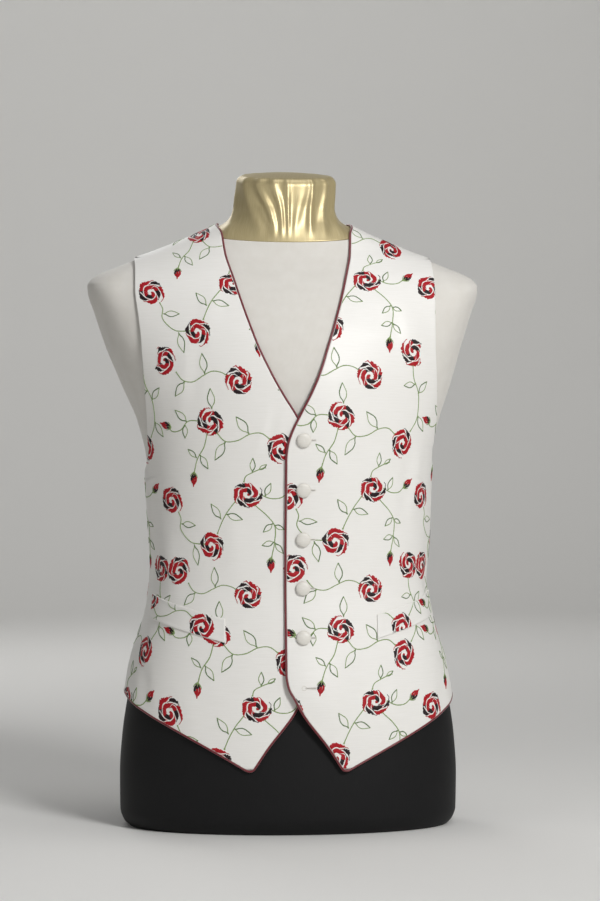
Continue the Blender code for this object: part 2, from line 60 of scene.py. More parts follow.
def readCurve(places, values, at):
    # the smooth curve through a table, which never overshoots the table's values
    x, y = np.asarray(places, float), np.asarray(values, float)
    step = np.diff(x)
    rise = np.diff(y) / step
    slope = np.concatenate([rise[:1], np.zeros(len(y) - 2), rise[-1:]])
    near = 2 * step[1:] + step[:-1]
    far = step[1:] + 2 * step[:-1]
    for i in np.flatnonzero(rise[:-1] * rise[1:] > 0):
        slope[i + 1] = (near[i] + far[i]) / (near[i] / rise[i] + far[i] / rise[i + 1])
    at = np.clip(at, x[0], x[-1])
    i = np.clip(np.searchsorted(x, at) - 1, 0, len(x) - 2)
    return hermite((at - x[i]) / step[i], step[i], y[i], slope[i], y[i + 1], slope[i + 1])


def fade(value, start, end):
    # 0 at start, 1 at end
    t = np.clip((value - start) / (end - start), 0, 1)
    return t * t * (3 - 2 * t)


def unit(vectors):
    # the same directions, each one long
    return vectors / np.maximum(np.linalg.norm(vectors, axis=-1, keepdims=True), 1e-9)


def lengthsAlong(line):
    # how far along a line each of its points lies
    return np.concatenate([[0], np.cumsum(np.linalg.norm(np.diff(line, axis=0), axis=1))])


def mirrored(name, vectors):
    # places and directions are worked out on the left half, and a right piece is their mirror image
    return vectors * np.array([-1, 1, 1]) if name.endswith("Right") else vectors


def linearColour(hexText):
    parts = [int(hexText[i:i + 2], 16) / 255 for i in (1, 3, 5)]
    return tuple(c / 12.92 if c <= 0.04045 else ((c + 0.055) / 1.055) ** 2.4 for c in parts) + (1.0,)


def addNode(tree, kind, settings=None, links=None):
    # settings name a node's property or an input; links lead other nodes' outputs into inputs
    node = tree.nodes.new(kind)
    for name, value in (settings or {}).items():
        if isinstance(name, str) and hasattr(node, name):
            setattr(node, name, value)
        else:
            node.inputs[name].default_value = value
    for name, source in (links or {}).items():
        tree.links.new(source, node.inputs[name])
    return node


def gridFaces(rows, columns, start=0, closed=False):
    # quads between the rows of a grid of vertices, joined round when closed
    across = columns if closed else columns - 1
    i, j = np.meshgrid(np.arange(rows - 1), np.arange(across), indexing="ij")
    n = (j + 1) % columns
    quads = np.stack([i * columns + j, i * columns + n, (i + 1) * columns + n, (i + 1) * columns + j], -1)
    return quads.reshape(-1, 4) + start


def addPiece(name, node, slot, points, faces, uvs, materials, kinds=None):
    # points in millimetres, uvs in metres of cloth, one per vertex; kinds say which material a face has
    mesh = bpy.data.meshes.new(name)
    mesh.from_pydata([tuple(p) for p in np.asarray(points) * mm], [], [tuple(f) for f in faces])
    layer = mesh.uv_layers.new(name="cloth")
    corners = np.zeros(len(mesh.loops), np.int32)
    mesh.loops.foreach_get("vertex_index", corners)
    layer.data.foreach_set("uv", np.asarray(uvs, np.float32)[corners].ravel())
    for material in materials:
        mesh.materials.append(material)
    if kinds is not None:
        mesh.polygons.foreach_set("material_index", np.asarray(kinds, np.int32))
    mesh.shade_smooth()
    mesh.update()
    made = bpy.data.objects.new(name, mesh)
    bpy.context.scene.collection.objects.link(made)
    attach(made, "root")
    if node:
        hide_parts(node)


def edgeThickness(away, radius, half):
    # half the thickness of a wall, rounded off where it comes near its edge
    left = 1 - np.clip(away / radius, 0, 1)
    return half * np.sqrt(1 - left**2)


def addWall(name, node, slot, outer, inner, places, isRim, material):
    # a thin closed wall between two grids of points, which share their rim
    rows, columns = isRim.shape
    number = np.arange(rows * columns).reshape(rows, columns)
    number[~isRim] = rows * columns + np.arange((~isRim).sum())
    faces = gridFaces(rows, columns)
    innerFaces = number.ravel()[faces[:, ::-1]]
    if name.endswith("Right"):
        faces, innerFaces = faces[:, ::-1], innerFaces[:, ::-1]
    points = np.concatenate([outer.reshape(-1, 3), inner[~isRim]])
    uvs = np.concatenate([places.reshape(-1, 2), places[~isRim]]) * mm
    addPiece(name, node, slot, points, np.concatenate([faces, innerFaces]), uvs, [material])


# camera, at the height of the chest's lower part and five degrees round to the wearer's right

cameraSetup = {
    "distance": 3200,
    "height": 430,
    "turn": 5,  # degrees
    "lens": 110.3,
    "sensor": 36,
    "shiftAcross": 0.0133,
}


def makeCamera():
    turn = math.radians(cameraSetup["turn"])
    away = cameraSetup["distance"]
    data = bpy.data.cameras.new("studioCamera")
    data.lens = cameraSetup["lens"]
    data.sensor_width = cameraSetup["sensor"]
    data.shift_x = cameraSetup["shiftAcross"]
    camera = bpy.data.objects.new("studioCamera", data)
    place = Vector((-away * math.sin(turn), -away * math.cos(turn), cameraSetup["height"])) * mm
    level = Matrix.Rotation(math.radians(90), 4, "X")
    camera.matrix_world = Matrix.Translation(place) @ Matrix.Rotation(-turn, 4, "Z") @ level
    bpy.context.scene.collection.objects.link(camera)
    bpy.context.scene.camera = camera


makeCamera()
print("camera placed")


# the dress form's surface, which every piece of cloth is laid over

formShape = {
    # height, half width, front, back, taper and shoulder of each level section;
    # taper is 0.5 for an ellipse, less for a squarer section and more for a pointed one;
    # shoulder is half the thickness of the arm's stump
    "sections": [
        (0, 184, 116, 119, 0.42, 0),
        (6, 190, 122, 126, 0.42, 0),
        (18, 194, 127, 131, 0.42, 0),
        (60, 194.5, 128.5, 136, 0.41, 0),
        (100, 192, 128, 136, 0.41, 0),
        (140, 186.5, 126, 131, 0.41, 0),
        (190, 174.5, 121, 119, 0.41, 0),
        (240, 160.5, 115, 106, 0.42, 0),
        (282, 154, 111, 98, 0.42, 0),
        (330, 156, 113, 99, 0.42, 0),
        (380, 159.5, 118, 107, 0.42, 0),
        (425, 164.5, 123, 117, 0.43, 2),
        (465, 174.5, 126, 125, 0.44, 14),
        (505, 190, 126.5, 130, 0.47, 34),
        (550, 206, 121, 133, 0.52, 48),
        (590, 219, 105, 131, 0.60, 52),
        (612, 226, 92, 126, 0.65, 48),
        (620, 226.5, 87, 123, 0.67, 43),
        (627, 222, 82, 120, 0.69, 38),
        (633, 213, 77, 117.5, 0.70, 34),
        (640, 196, 71.5, 114, 0.70, 29),
        (649.5, 172, 65, 108, 0.68, 24),
        (660, 145, 59, 101, 0.66, 20),
        (670, 120, 55, 94, 0.62, 17),
        (680, 94, 52, 86, 0.58, 13),
        (686, 79.5, 50.5, 81, 0.55, 10),
        (692, 68, 49.5, 77, 0.52, 6),
        (700, 61.5, 48.5, 73, 0.50, 2),
        (712, 58, 47, 69, 0.50, 0),
        (741, 57, 46, 66, 0.50, 0),
    ],
    "shoulderEndRadius": 34,
    "swayHeights": [470, 520, 551, 600, 690, 745],  # it leans to its right above the chest
    "sway": [0, -3, -5, -5.5, -5.5, -1.5],
    "lowerTop": 230,
    "neckSeamHeight": 684,
    "neckSeamTilt": 0.30,
    "neckAxisY": 10,
    "neckTopTilt": 0.17,
    "neckTiltFrom": 700,
    "neckRoundFrom": 741,
    "neckCorner": 9,
}
sectionTable = np.array(formShape["sections"], float)
spare = 12  # points that an outline has past the centre front, and past the centre back


@lru_cache(maxsize=None)
def outlineAt(height):
    # arc, x and y of points round the left half, carried on past the centre front and back
    size = [readCurve(sectionTable[:, 0], sectionTable[:, k], height) for k in range(1, 6)]
    halfWidth, front, back, taper, shoulder = (float(value) for value in size)
    angles = np.linspace(0, math.pi, 481)
    across = np.sin(angles)
    isFront = angles <= math.pi / 2
    x = halfWidth * across
    lens = np.where(isFront, front, back) * np.maximum(1 - across**2, 0) ** taper
    endRadius = formShape["shoulderEndRadius"]
    past = np.clip((x - halfWidth + endRadius) / endRadius, 0, 1)
    y = (lens**4 + (shoulder * np.sqrt(1 - past**2)) ** 4) ** 0.25 * np.where(isFront, -1, 1)
    arc = np.concatenate([[0], np.cumsum(np.hypot(np.diff(x), np.diff(y)))])
    arc = np.concatenate([-arc[spare:0:-1], arc, 2 * arc[-1] - arc[-2:-2 - spare:-1]])
    x = np.concatenate([-x[spare:0:-1], x, -x[-2:-2 - spare:-1]])
    y = np.concatenate([y[spare:0:-1], y, y[-2:-2 - spare:-1]])
    return arc, x, y


def outlineNear(height):
    return outlineAt(round(float(height), 3))


def backArc(height):
    return outlineNear(height)[0][-1 - spare]


def widestArc(height):
    arc, x, _ = outlineNear(height)
    return arc[int(np.argmax(x))]


def arcAtX(height, x, behind=False):
    arc, xs, _ = outlineNear(height)
    middle = int(np.argmax(xs))
    if behind:
        return float(np.interp(-x, -xs[middle:], arc[middle:]))
    return float(np.interp(x, xs[:middle + 1], arc[:middle + 1]))


surfaceTop = 742
tableHeights = np.arange(-1, surfaceTop + 2)
tableArcs = np.arange(-16, 561)


def makeSurfaceTable():
    # the form's left half, a point to each millimetre of height and of arc, with its outward normal
    rows = []
    for height in tableHeights:
        arc, x, y = outlineAt(float(np.clip(height, 0, surfaceTop - 1)))
        level = np.full(len(tableArcs), float(height))
        rows.append(np.stack([np.interp(tableArcs, arc, x), np.interp(tableArcs, arc, y), level], -1))
    points = np.array(rows)
    normals = np.cross(np.gradient(points, axis=1), np.gradient(points, axis=0))
    return np.concatenate([points, unit(normals)], -1)


surfaceTable = makeSurfaceTable()


def formSurface(height, arc):
    # points and normals on the form, for arrays of heights and of arcs; a negative arc is the right half
    height, arc = np.broadcast_arrays(np.asarray(height, float), np.asarray(arc, float))
    side = np.where(arc < 0, -1.0, 1.0)
    row = np.clip(height - tableHeights[0], 0, len(tableHeights) - 1.001)
    column = np.clip(np.abs(arc) - tableArcs[0], 0, len(tableArcs) - 1.001)
    i, j = row.astype(int), column.astype(int)
    a, b = (row - i)[..., None], (column - j)[..., None]
    found = (
        surfaceTable[i, j] * (1 - a) * (1 - b)
        + surfaceTable[i + 1, j] * a * (1 - b)
        + surfaceTable[i, j + 1] * (1 - a) * b
        + surfaceTable[i + 1, j + 1] * a * b
    )
    found = found * np.stack([side, np.ones_like(side), np.ones_like(side)] * 2, -1)
    return found[..., :3], unit(found[..., 3:])


def swayed(points, height):
    # the points moved aside as the form leans
    lean = readCurve(formShape["swayHeights"], formShape["sway"], height)
    none = np.zeros(np.shape(height))
    return points + np.stack([lean, none, none], -1)


print("form surface ready")


# how the cloth stands off the form: its ease, the overlap of the fronts and the creases

drape = {
    "wall": 2.0,
    "restGap": 0.5,
    "easeHeights": [70, 150, 240, 285, 400, 500, 600, 645, 658, 671, 681, 690],
    "ease": [1.8, 2.5, 3.5, 3.3, 2.3, 1.8, 1.0, 1.4, 0.1, 0.2, 1.5, 3.2],
    "overlapLift": 3.1,
    "overlapFullArc": 34,
    "overlapEndArc": 76,
    "overlapTop": (480, 545),
    "flapRise": 4.8,  # the loose corner over the undone button
    "flapHeight": 160,
    "flapReach": (40, 44),
    "buttonArc": 6,
    "sideSeamReach": 16,  # this close to a seam the creases of its two panels come to one level
    "centreSeamReach": 30,
}

# Creases, as arc, height, reach across, reach up, rise and lean. A rise below 0 is a trough.
# Lean is how far the arc moves for each millimetre of height.
creases = {
    "frontRight": [
        (196, 372, 24, 92, 3.0, 0.05),
        (236, 190, 30, 66, 3.2, -0.10),
        (150, 300, 26, 60, 1.8, 0.15),
        (126, 505, 17, 62, 0.8, -0.22),
        (112, 520, 15, 55, -0.6, -0.22),
        (176, 300, 12, 46, -1.4, 0.06),
        (208, 272, 13, 50, 1.6, -0.12),
        (70, 330, 18, 80, 0.8, 0.06),
        (182, 160, 16, 44, -1.3, 0.12),
        (120, 130, 24, 46, 0.9, 0.2),
        (90, 590, 18, 40, 1.0, -0.3),
        (30, 452, 10, 42, -0.6, -0.3),
        (40, 448, 10, 40, 0.4, -0.3),
    ],
    "frontLeft": [
        (200, 340, 24, 84, 2.6, 0.04),
        (234, 190, 30, 62, 2.4, -0.08),
        (140, 556, 30, 70, 2.2, -0.20),
        (150, 398, 15, 66, 1.3, 0.10),
        (132, 392, 13, 58, -1.1, 0.10),
        (180, 262, 14, 48, -1.4, -0.10),
        (206, 246, 12, 40, 1.4, 0.10),
        (60, 330, 13, 90, 0.9, 0.02),
        (110, 142, 20, 40, 0.9, -0.16),
        (186, 148, 15, 40, -1.1, -0.10),
        (118, 580, 14, 42, -0.9, -0.26),
    ],
    "backLeft": [
        (430, 300, 30, 110, 3.6, 0.06),
        (360, 290, 26, 90, 3.0, -0.05),
        (300, 330, 24, 70, 2.2, 0.10),
        (398, 268, 16, 62, -1.4, 0.03),
        (330, 262, 14, 54, -1.1, -0.08),
        (415, 560, 22, 60, 1.0, 0.22),
        (300, 200, 22, 40, 1.3, 0.06),
    ],
    "backRight": [
        (440, 305, 28, 105, 3.2, 0.04),
        (372, 285, 26, 95, 3.4, -0.06),
        (305, 325, 24, 75, 2.4, 0.08),
        (408, 272, 15, 58, -1.3, -0.04),
        (340, 258, 15, 50, -1.2, 0.07),
        (400, 552, 20, 58, 1.1, -0.20),
        (292, 205, 20, 42, 1.1, -0.05),
    ],
}


def panelCreases(panel, height, arc):
    total = np.zeros(np.broadcast(height, arc).shape)
    for place, level, reachAcross, reachUp, rise, lean in creases[panel]:
        up = np.clip((height - level) / reachUp, -1, 1)
        across = np.clip((arc - place - lean * (height - level)) / reachAcross, -1, 1)
        total = total + rise * np.cos(across * math.pi / 2) ** 2 * np.cos(up * math.pi / 2) ** 2
    return total


def creaseRise(panel, height, arc):
    # a panel's creases, brought level with its neighbour's where a seam joins the two
    own = panelCreases(panel, height, arc)
    isFront = panel.startswith("front")
    neighbour = panel.replace("front", "back") if isFront else panel.replace("back", "front")
    seam = np.interp(height, seamHeights, sideSeamArcs)
    near = 1 - fade(np.abs(arc - seam), 0, drape["sideSeamReach"])
    near = near * (1 - fade(height, cut["underarm"] - drape["sideSeamReach"], cut["underarm"]))
    rise = own + near * (panelCreases(neighbour, height, arc) - own) / 2
    if not isFront:
        neighbour = "backRight" if panel == "backLeft" else "backLeft"
        near = 1 - fade(np.interp(height, seamHeights, centreSeamArcs) - arc, 0, drape["centreSeamReach"])
        rise = rise + near * (panelCreases(neighbour, height, arc) - own) / 2
    return rise


def overLift(height, arc):
    # how far the left front rises over the right one, and its loose corner over the last button
    step = drape["overlapLift"] * (1 - fade(arc, drape["overlapFullArc"], drape["overlapEndArc"]))
    step = step * (1 - fade(height, *drape["overlapTop"]))
    across = (arc - drape["buttonArc"]) / drape["flapReach"][0]
    up = (height - drape["flapHeight"]) / drape["flapReach"][1]
    return step + drape["flapRise"] * np.exp(-(across**2) - up**2)


def clothPoints(panel, height, arc, out):
    # points out millimetres beyond a panel's inner face
    gap = drape["restGap"] + readCurve(drape["easeHeights"], drape["ease"], height)
    gap = gap + creaseRise(panel, height, arc)
    if panel == "frontLeft":
        gap = gap + overLift(height, arc)
    points, normals = formSurface(height, arc)
    return swayed(mirrored(panel, points + normals * (gap + out)[..., None]), height)


# the cut of the panels

cut = {
    "seamGap": 0.3,
    "frontEdgeHeights": [74, 99, 135, 153, 166, 180, 420, 436, 450, 468, 491, 515, 552, 589, 620, 654, 690],
    "frontEdgeX": [50.5, 34, 6.5, -3.5, -10, -12, -12, -10.3, -6, 2.6, 15.5, 27.5, 42.2, 54.5, 63.5, 72, 75],
    "standExtension": 8,  # the under front reaches this much further across
    "standHeights": [150, 205, 400, 452],
    "standShare": [0, 1, 1, 0],
    "armholeHeights": [440, 463, 500, 525, 552, 580, 613, 650],
    "armholeX": {
        "frontLeft": [160, 162, 163.5, 164, 165, 166, 167.5, 168],
        "frontRight": [160, 162, 164, 165, 166, 169, 173, 172],
        "back": [156, 161, 165, 167, 168, 169, 170, 170],
    },
    "tipHeight": 74,
    "tipWidth": 5,
    "sideHem": 157,
    "hemCurve": {"frontLeft": 1.32, "frontRight": 1.5},
    "underarm": 398,
    "armholeStraight": 440,
    "shoulderEnd": 649.5,
    "neckTop": 688,
    "neckRoundingFrom": 676,
    "neckRoundingArc": 11,
    "sideSeamBehind": 18,
    "shoulderSeamBehind": 10,
}
seamHeights = np.arange(cut["tipHeight"] - 10, cut["neckTop"] + 10)
sideSeamArcs = np.array([widestArc(h) + cut["sideSeamBehind"] for h in seamHeights])
centreSeamArcs = np.array([backArc(h) for h in seamHeights])


def frontEdgeArc(panel, height):
    x = float(readCurve(cut["frontEdgeHeights"], cut["frontEdgeX"], height))
    if panel == "frontRight":
        x -= cut["standExtension"] * float(readCurve(cut["standHeights"], cut["standShare"], height))
    turn = max(0.0, height - cut["neckRoundingFrom"]) / (cut["neckTop"] - cut["neckRoundingFrom"])
    return arcAtX(height, x) + cut["neckRoundingArc"] * turn**2


def armholeArc(height, xs, behind, offset):
    if height <= cut["underarm"]:
        return widestArc(height) + cut["sideSeamBehind"] + offset
    straight = cut["armholeStraight"]
    if height >= straight:
        return arcAtX(height, float(readCurve(cut["armholeHeights"], xs, height)), behind)
    left = 1 - (height - cut["underarm"]) / (straight - cut["underarm"])
    start = cut["sideSeamBehind"] + offset
    end = arcAtX(straight, xs[0], behind) - widestArc(straight)
    return widestArc(height) + start + (end - start) * math.sqrt(max(0.0, 1 - left**2))


def frontOuterArc(panel, height):
    seam = -cut["seamGap"] / 2
    if height < cut["sideHem"]:
        done = (height - cut["tipHeight"]) / (cut["sideHem"] - cut["tipHeight"])
        tip = frontEdgeArc("frontLeft", cut["tipHeight"]) + cut["tipWidth"]
        reach = widestArc(cut["sideHem"]) + cut["sideSeamBehind"] + seam - tip
        return tip + reach * (1 - max(0.0, 1 - done) ** (1 / cut["hemCurve"][panel]))
    shoulderSeam = widestArc(height) + cut["shoulderSeamBehind"] + seam
    if height > cut["shoulderEnd"]:
        return shoulderSeam
    return armholeArc(height, cut["armholeX"][panel], False, seam)


def backOuterArc(panel, height):
    seam = cut["seamGap"] / 2
    shoulderSeam = widestArc(height) + cut["shoulderSeamBehind"] + seam
    if height > cut["shoulderEnd"]:
        return shoulderSeam
    return max(armholeArc(height, cut["armholeX"]["back"], True, seam), shoulderSeam)


def backCentreArc(panel, height):
    return backArc(height) - cut["seamGap"] / 2


panelEdges = {
    "frontLeft": (frontEdgeArc, frontOuterArc),
    "frontRight": (frontEdgeArc, frontOuterArc),
    "backLeft": (backOuterArc, backCentreArc),
    "backRight": (backOuterArc, backCentreArc),
}


# materials of the waistcoat, and what cloth materials are made with

silk = {
    "slubWidth": 1.1,  # a thick place in the weft; drawn twice as coarse as the real one to show
    "slubLength": 26,
    "thread": 0.9,  # the real threads lie 0.25 mm apart
    "ivoryDupionSilk": {
        "light": "#EEECE8", "shade": "#EAE8E3", "gloss": 0.45, "sheen": 0.15, "relief": (0.03, 0.05),
    },
    # painted shade: the buttons' silk is a darker, greyer ivory than the fronts' silk, standing in for the
    # shading round the domed buttons
    "ivoryButtonSilk": {
        "light": "#E2DFD8", "shade": "#DBD7CE", "gloss": 0.38, "sheen": 0.15, "relief": (0.03, 0.05),
    },
    "ivoryBackSatin": {
        "light": "#ECE9E2", "shade": "#E6E2D9", "gloss": 0.32, "sheen": 0.12, "relief": (0.05, 0.1),
    },
}
# light and dark tone, millimetres between stitches and roughness; the dark tone is painted shade in the
# grooves between stitches and also comes at random along the floss; the real floss lies 0.4 mm apart
floss = {
    "redFloss": ("#D01023", "#9A0A18", 0.8, 0.5),
    "nearBlackFloss": ("#32191F", "#170B0F", 0.8, 0.46),
    "leafGreenFloss": ("#A9BC84", "#748E54", 0.9, 0.55),
    "deepGreenFloss": ("#76905A", "#466338", 0.9, 0.55),
    "ivoryButtonholeTwist": ("#F0EEE9", "#DAD6CE", 0.7, 0.45),
}


def newMaterial(name, settings):
    made = bpy.data.materials.new(name)
    made.use_nodes = True
    shader = made.node_tree.nodes["Principled BSDF"]
    for socket, value in settings.items():
        shader.inputs[socket].default_value = value
    return made, made.node_tree, shader


def newCloth(name, settings):
    # a material, and the place on its cloth in metres
    made, tree, shader = newMaterial(name, settings)
    return made, tree, shader, addNode(tree, "ShaderNodeUVMap", {"uv_map": "cloth"}).outputs["UV"]


def addWaves(tree, place, direction, millimetres, settings):
    # threads, stitches or ribs this far apart; the texture repeats every 2 pi / 20 of its own units
    scale = 2 * math.pi / 20 / (millimetres * mm)
    settings = {"bands_direction": direction, "Scale": scale, **settings}
    return addNode(tree, "ShaderNodeTexWave", settings, {"Vector": place}).outputs["Fac"]


def addNoise(tree, place, settings, stretch=None):
    if stretch is not None:
        move = {"operation": "MULTIPLY", 1: stretch}
        place = addNode(tree, "ShaderNodeVectorMath", move, {0: place}).outputs[0]
    links = None if place is None else {"Vector": place}
    return addNode(tree, "ShaderNodeTexNoise", settings, links).outputs["Fac"]


def multiply(tree, first, second):
    return addNode(tree, "ShaderNodeMath", {"operation": "MULTIPLY"}, {0: first, 1: second}).outputs[0]


def colourBetween(tree, shader, share, dark, light):
    # the colour runs from dark to light as the share goes from 0 to 1
    tones = {"data_type": "RGBA", 6: linearColour(dark), 7: linearColour(light)}
    mixed = addNode(tree, "ShaderNodeMix", tones, {0: share})
    tree.links.new(mixed.outputs[2], shader.inputs["Base Color"])


def addRelief(tree, shader, height, strength, metres, under=None):
    links = {"Height": height}
    if under is not None:
        links["Normal"] = under
    bump = addNode(tree, "ShaderNodeBump", {"Strength": strength, "Distance": metres}, links).outputs[0]
    tree.links.new(bump, shader.inputs["Normal"])
    return bump


def makeWovenSilk(name):
    # dupion: its uneven weft gives the eye faint level streaks, and its filament a soft gloss
    look = silk[name]
    gloss = look["gloss"]
    made, tree, shader, place = newCloth(name, {
        "Roughness": gloss, "Sheen Weight": look["sheen"], "Sheen Roughness": 0.35, "IOR": 1.54,
    })
    stretch = (1 / (silk["slubLength"] * mm), 1 / (silk["slubWidth"] * mm), 1)
    slub = addNoise(tree, place, {"Scale": 1.0, "Detail": 4.0, "Roughness": 0.62}, stretch)
    weft = addWaves(tree, place, "Y", silk["thread"], {"Distortion": 0.6, "Detail": 1.0})
    warp = addWaves(tree, place, "X", silk["thread"], {"Distortion": 0.4, "Detail": 1.0})
    tone = addNode(tree, "ShaderNodeMapRange", {"From Min": 0.35, "From Max": 0.68}, {"Value": slub})
    colourBetween(tree, shader, tone.outputs[0], look["light"], look["shade"])
    uneven = {"To Min": gloss - 0.06, "To Max": gloss + 0.1}
    matt = addNode(tree, "ShaderNodeMapRange", uneven, {"Value": slub})
    tree.links.new(matt.outputs[0], shader.inputs["Roughness"])
    slubRelief = addRelief(tree, shader, slub, look["relief"][0], 0.0002)
    addRelief(tree, shader, multiply(tree, weft, warp), look["relief"][1], 0.0001, slubRelief)
    return made


def makeThread(name):
    # viscose floss laid in satin stitch: fine glossy ridges across each petal or along each stem
    light, dark, stitch, roughness = floss[name]
    settings = {"Roughness": roughness, "Specular IOR Level": 0.3, "IOR": 1.5}
    made, tree, shader, place = newCloth(name, settings)
    ridges = addWaves(tree, place, "X", stitch, {"Distortion": 1.2, "Detail": 1.0, "Detail Scale": 2.0})
    uneven = addNoise(tree, place, {"Scale": 900.0, "Detail": 2.0})
    # painted shade: the colour darkens in the grooves between stitch ridges and lightens on them, and varies
    # at random along the floss
    colourBetween(tree, shader, multiply(tree, ridges, uneven), dark, light)
    addRelief(tree, shader, ridges, 0.5, 0.0002)
    return made


ivorySilk, buttonSilkPaintedShade, backSatin = (
    makeWovenSilk(name) for name in ("ivoryDupionSilk", "ivoryButtonSilk", "ivoryBackSatin")
)
redThread, darkThread, greenThread, deepGreenThread, twist = (makeThread(name) for name in floss)


# the cloth panels

panelSetup = {
    "rowStep": 3.0,
    "columnStep": 3.0,
    "edgeSteps": [0, 0.25, 0.6, 1.1, 1.9],  # closer at the rim, where the folded edge rounds over
    "edgeRadius": 1.0,
    "pointRows": 44,  # below the side's hem, crowded towards the front's point
    "pointCrowding": 1.6,
}


def panelHeights(panel):
    top, low = cut["neckTop"], cut["sideHem"]
    steps = [top - step for step in reversed(panelSetup["edgeSteps"])]
    above = np.linspace(low, steps[0], int((steps[0] - low) / panelSetup["rowStep"]) + 1)[:-1]
    if panel.startswith("back"):
        return np.concatenate([[low + step for step in panelSetup["edgeSteps"]], above[1:], steps])
    share = np.linspace(0, 1, panelSetup["pointRows"])
    below = low - (low - cut["tipHeight"]) * (1 - share) ** panelSetup["pointCrowding"]
    return np.concatenate([below[:-1], above, steps])


def panelArcs(first, last, count):
    ease = panelSetup["edgeSteps"]
    if last - first < 6 * ease[-1]:
        return np.linspace(first, last, count)
    middle = np.linspace(first + ease[-1], last - ease[-1], count - 2 * (len(ease) - 1))
    start = [first + step for step in ease[:-1]]
    end = [last - step for step in ease[-2::-1]]
    return np.concatenate([start, middle, end])


def awayFromRim(grid):
    # how far each point of a grid lies from its rim, which is read in eighths of its steps
    rim = np.concatenate([grid[0], grid[1:, -1], grid[-1, -2::-1], grid[-2:0:-1, 0]])
    parts = rim[:, None] + (np.roll(rim, -1, 0) - rim)[:, None] * np.arange(8)[:, None] / 8
    tree = KDTree(len(rim) * 8)
    for k, point in enumerate(parts.reshape(-1, 3)):
        tree.insert(Vector(point), k)
    tree.balance()
    return np.array([tree.find(Vector(p))[2] for p in grid.reshape(-1, 3)]).reshape(grid.shape[:2])


def makePanel(panel, node, slot, material):
    firstEdge, lastEdge = panelEdges[panel]
    heights = panelHeights(panel)
    firsts = np.array([firstEdge(panel, h) for h in heights])
    lasts = np.array([lastEdge(panel, h) for h in heights])
    count = int((lasts - firsts).max() / panelSetup["columnStep"]) + 9
    arcs = np.array([panelArcs(a, b, count) for a, b in zip(firsts, lasts)])
    levels = np.repeat(heights[:, None], count, 1)
    half = drape["wall"] / 2
    middle = clothPoints(panel, levels, arcs, np.full(arcs.shape, half))
    isRim = np.ones(arcs.shape, bool)
    isRim[1:-1, 1:-1] = False
    thick = edgeThickness(np.where(isRim, 0, awayFromRim(middle)), panelSetup["edgeRadius"], half)
    outer = clothPoints(panel, levels, arcs, half + thick)
    inner = clothPoints(panel, levels, arcs, half - thick)
    addWall(panel, node, slot, outer, inner, np.stack([arcs, levels], -1), isRim, material)
    return {"heights": heights, "firsts": firsts, "lasts": lasts, "middle": middle}


panelRims = {
    "frontLeft": makePanel("frontLeft", "front_left", "front_silk", ivorySilk),
    "frontRight": makePanel("frontRight", "front_right", "front_silk", ivorySilk),
    "backLeft": makePanel("backLeft", "back_left", "back_silk", backSatin),
    "backRight": makePanel("backRight", "back_right", "back_silk", backSatin),
}
fronts = {"frontLeft": "left", "frontRight": "right"}
print("panels laid over the form")


# piping along the neck, the front edge and the hem

piping = {
    "radius": 1.2,
    "fromEdge": 1.1,
    "step": 1.2,
    "sides": 12,
    "light": "#861B29",
    "dark": "#4E0E18",
    "thread": 0.7,  # bias strip, threads crossing at a slant
}


def makePipingSilk():
    # maroon satin cut on the bias, pulled round a cord: a slanting grain with a narrow highlight
    settings = {"Roughness": 0.38, "Sheen Weight": 0.3, "IOR": 1.54}
    made, tree, shader, place = newCloth("maroonBiasSatin", settings)
    grain = addWaves(tree, place, "DIAGONAL", piping["thread"], {"Distortion": 0.5})
    colourBetween(tree, shader, grain, piping["dark"], piping["light"])
    addRelief(tree, shader, grain, 0.4, 0.0001)
    return made


maroonSilk = makePipingSilk()


def pipedEdge(panel):
    # points from the shoulder along the neck, the front edge and the hem, with the way through the cloth
    rim = panelRims[panel]
    middle, heights, firsts, lasts = rim["middle"], rim["heights"], rim["firsts"], rim["lasts"]
    hemRows = int(np.searchsorted(heights, cut["sideHem"] - 0.01)) + 1
    points = np.concatenate([middle[-1, :0:-1], middle[:0:-1, 0], middle[0, :-1], middle[:hemRows, -1]])
    top, foot = (np.linspace(firsts[k], lasts[k], middle.shape[1]) for k in (-1, 0))
    arcs = np.concatenate([top[:0:-1], firsts[:0:-1], foot[:-1], lasts[:hemRows]])
    topLevels, footLevels = (np.full(middle.shape[1] - 1, heights[k]) for k in (-1, 0))
    levels = np.concatenate([topLevels, heights[:0:-1], footLevels, heights[:hemRows]])
    return points, mirrored(panel, formSurface(levels, arcs)[1])


def makeTube(line, across, radius, sides):
    # across is any direction through the cloth at each point
    tangents = unit(np.gradient(line, axis=0))
    side = unit(np.cross(tangents, across))
    other = np.cross(side, tangents)
    turn = np.linspace(0, 2 * math.pi, sides + 1)
    ring = np.cos(turn)[None, :, None] * side[:, None] + np.sin(turn)[None, :, None] * other[:, None]
    points = line[:, None] + ring * radius
    uvs = np.stack(np.broadcast_arrays(turn[None] * radius, lengthsAlong(line)[:, None]), -1) * mm
    rows, columns = points.shape[:2]
    faces = [tuple(f) for f in gridFaces(rows, columns)[:, ::-1]]
    ends = [list(range(columns - 1)), [(rows - 1) * columns + k for k in range(columns - 1)][::-1]]
    return points.reshape(-1, 3), faces + ends, uvs.reshape(-1, 2)


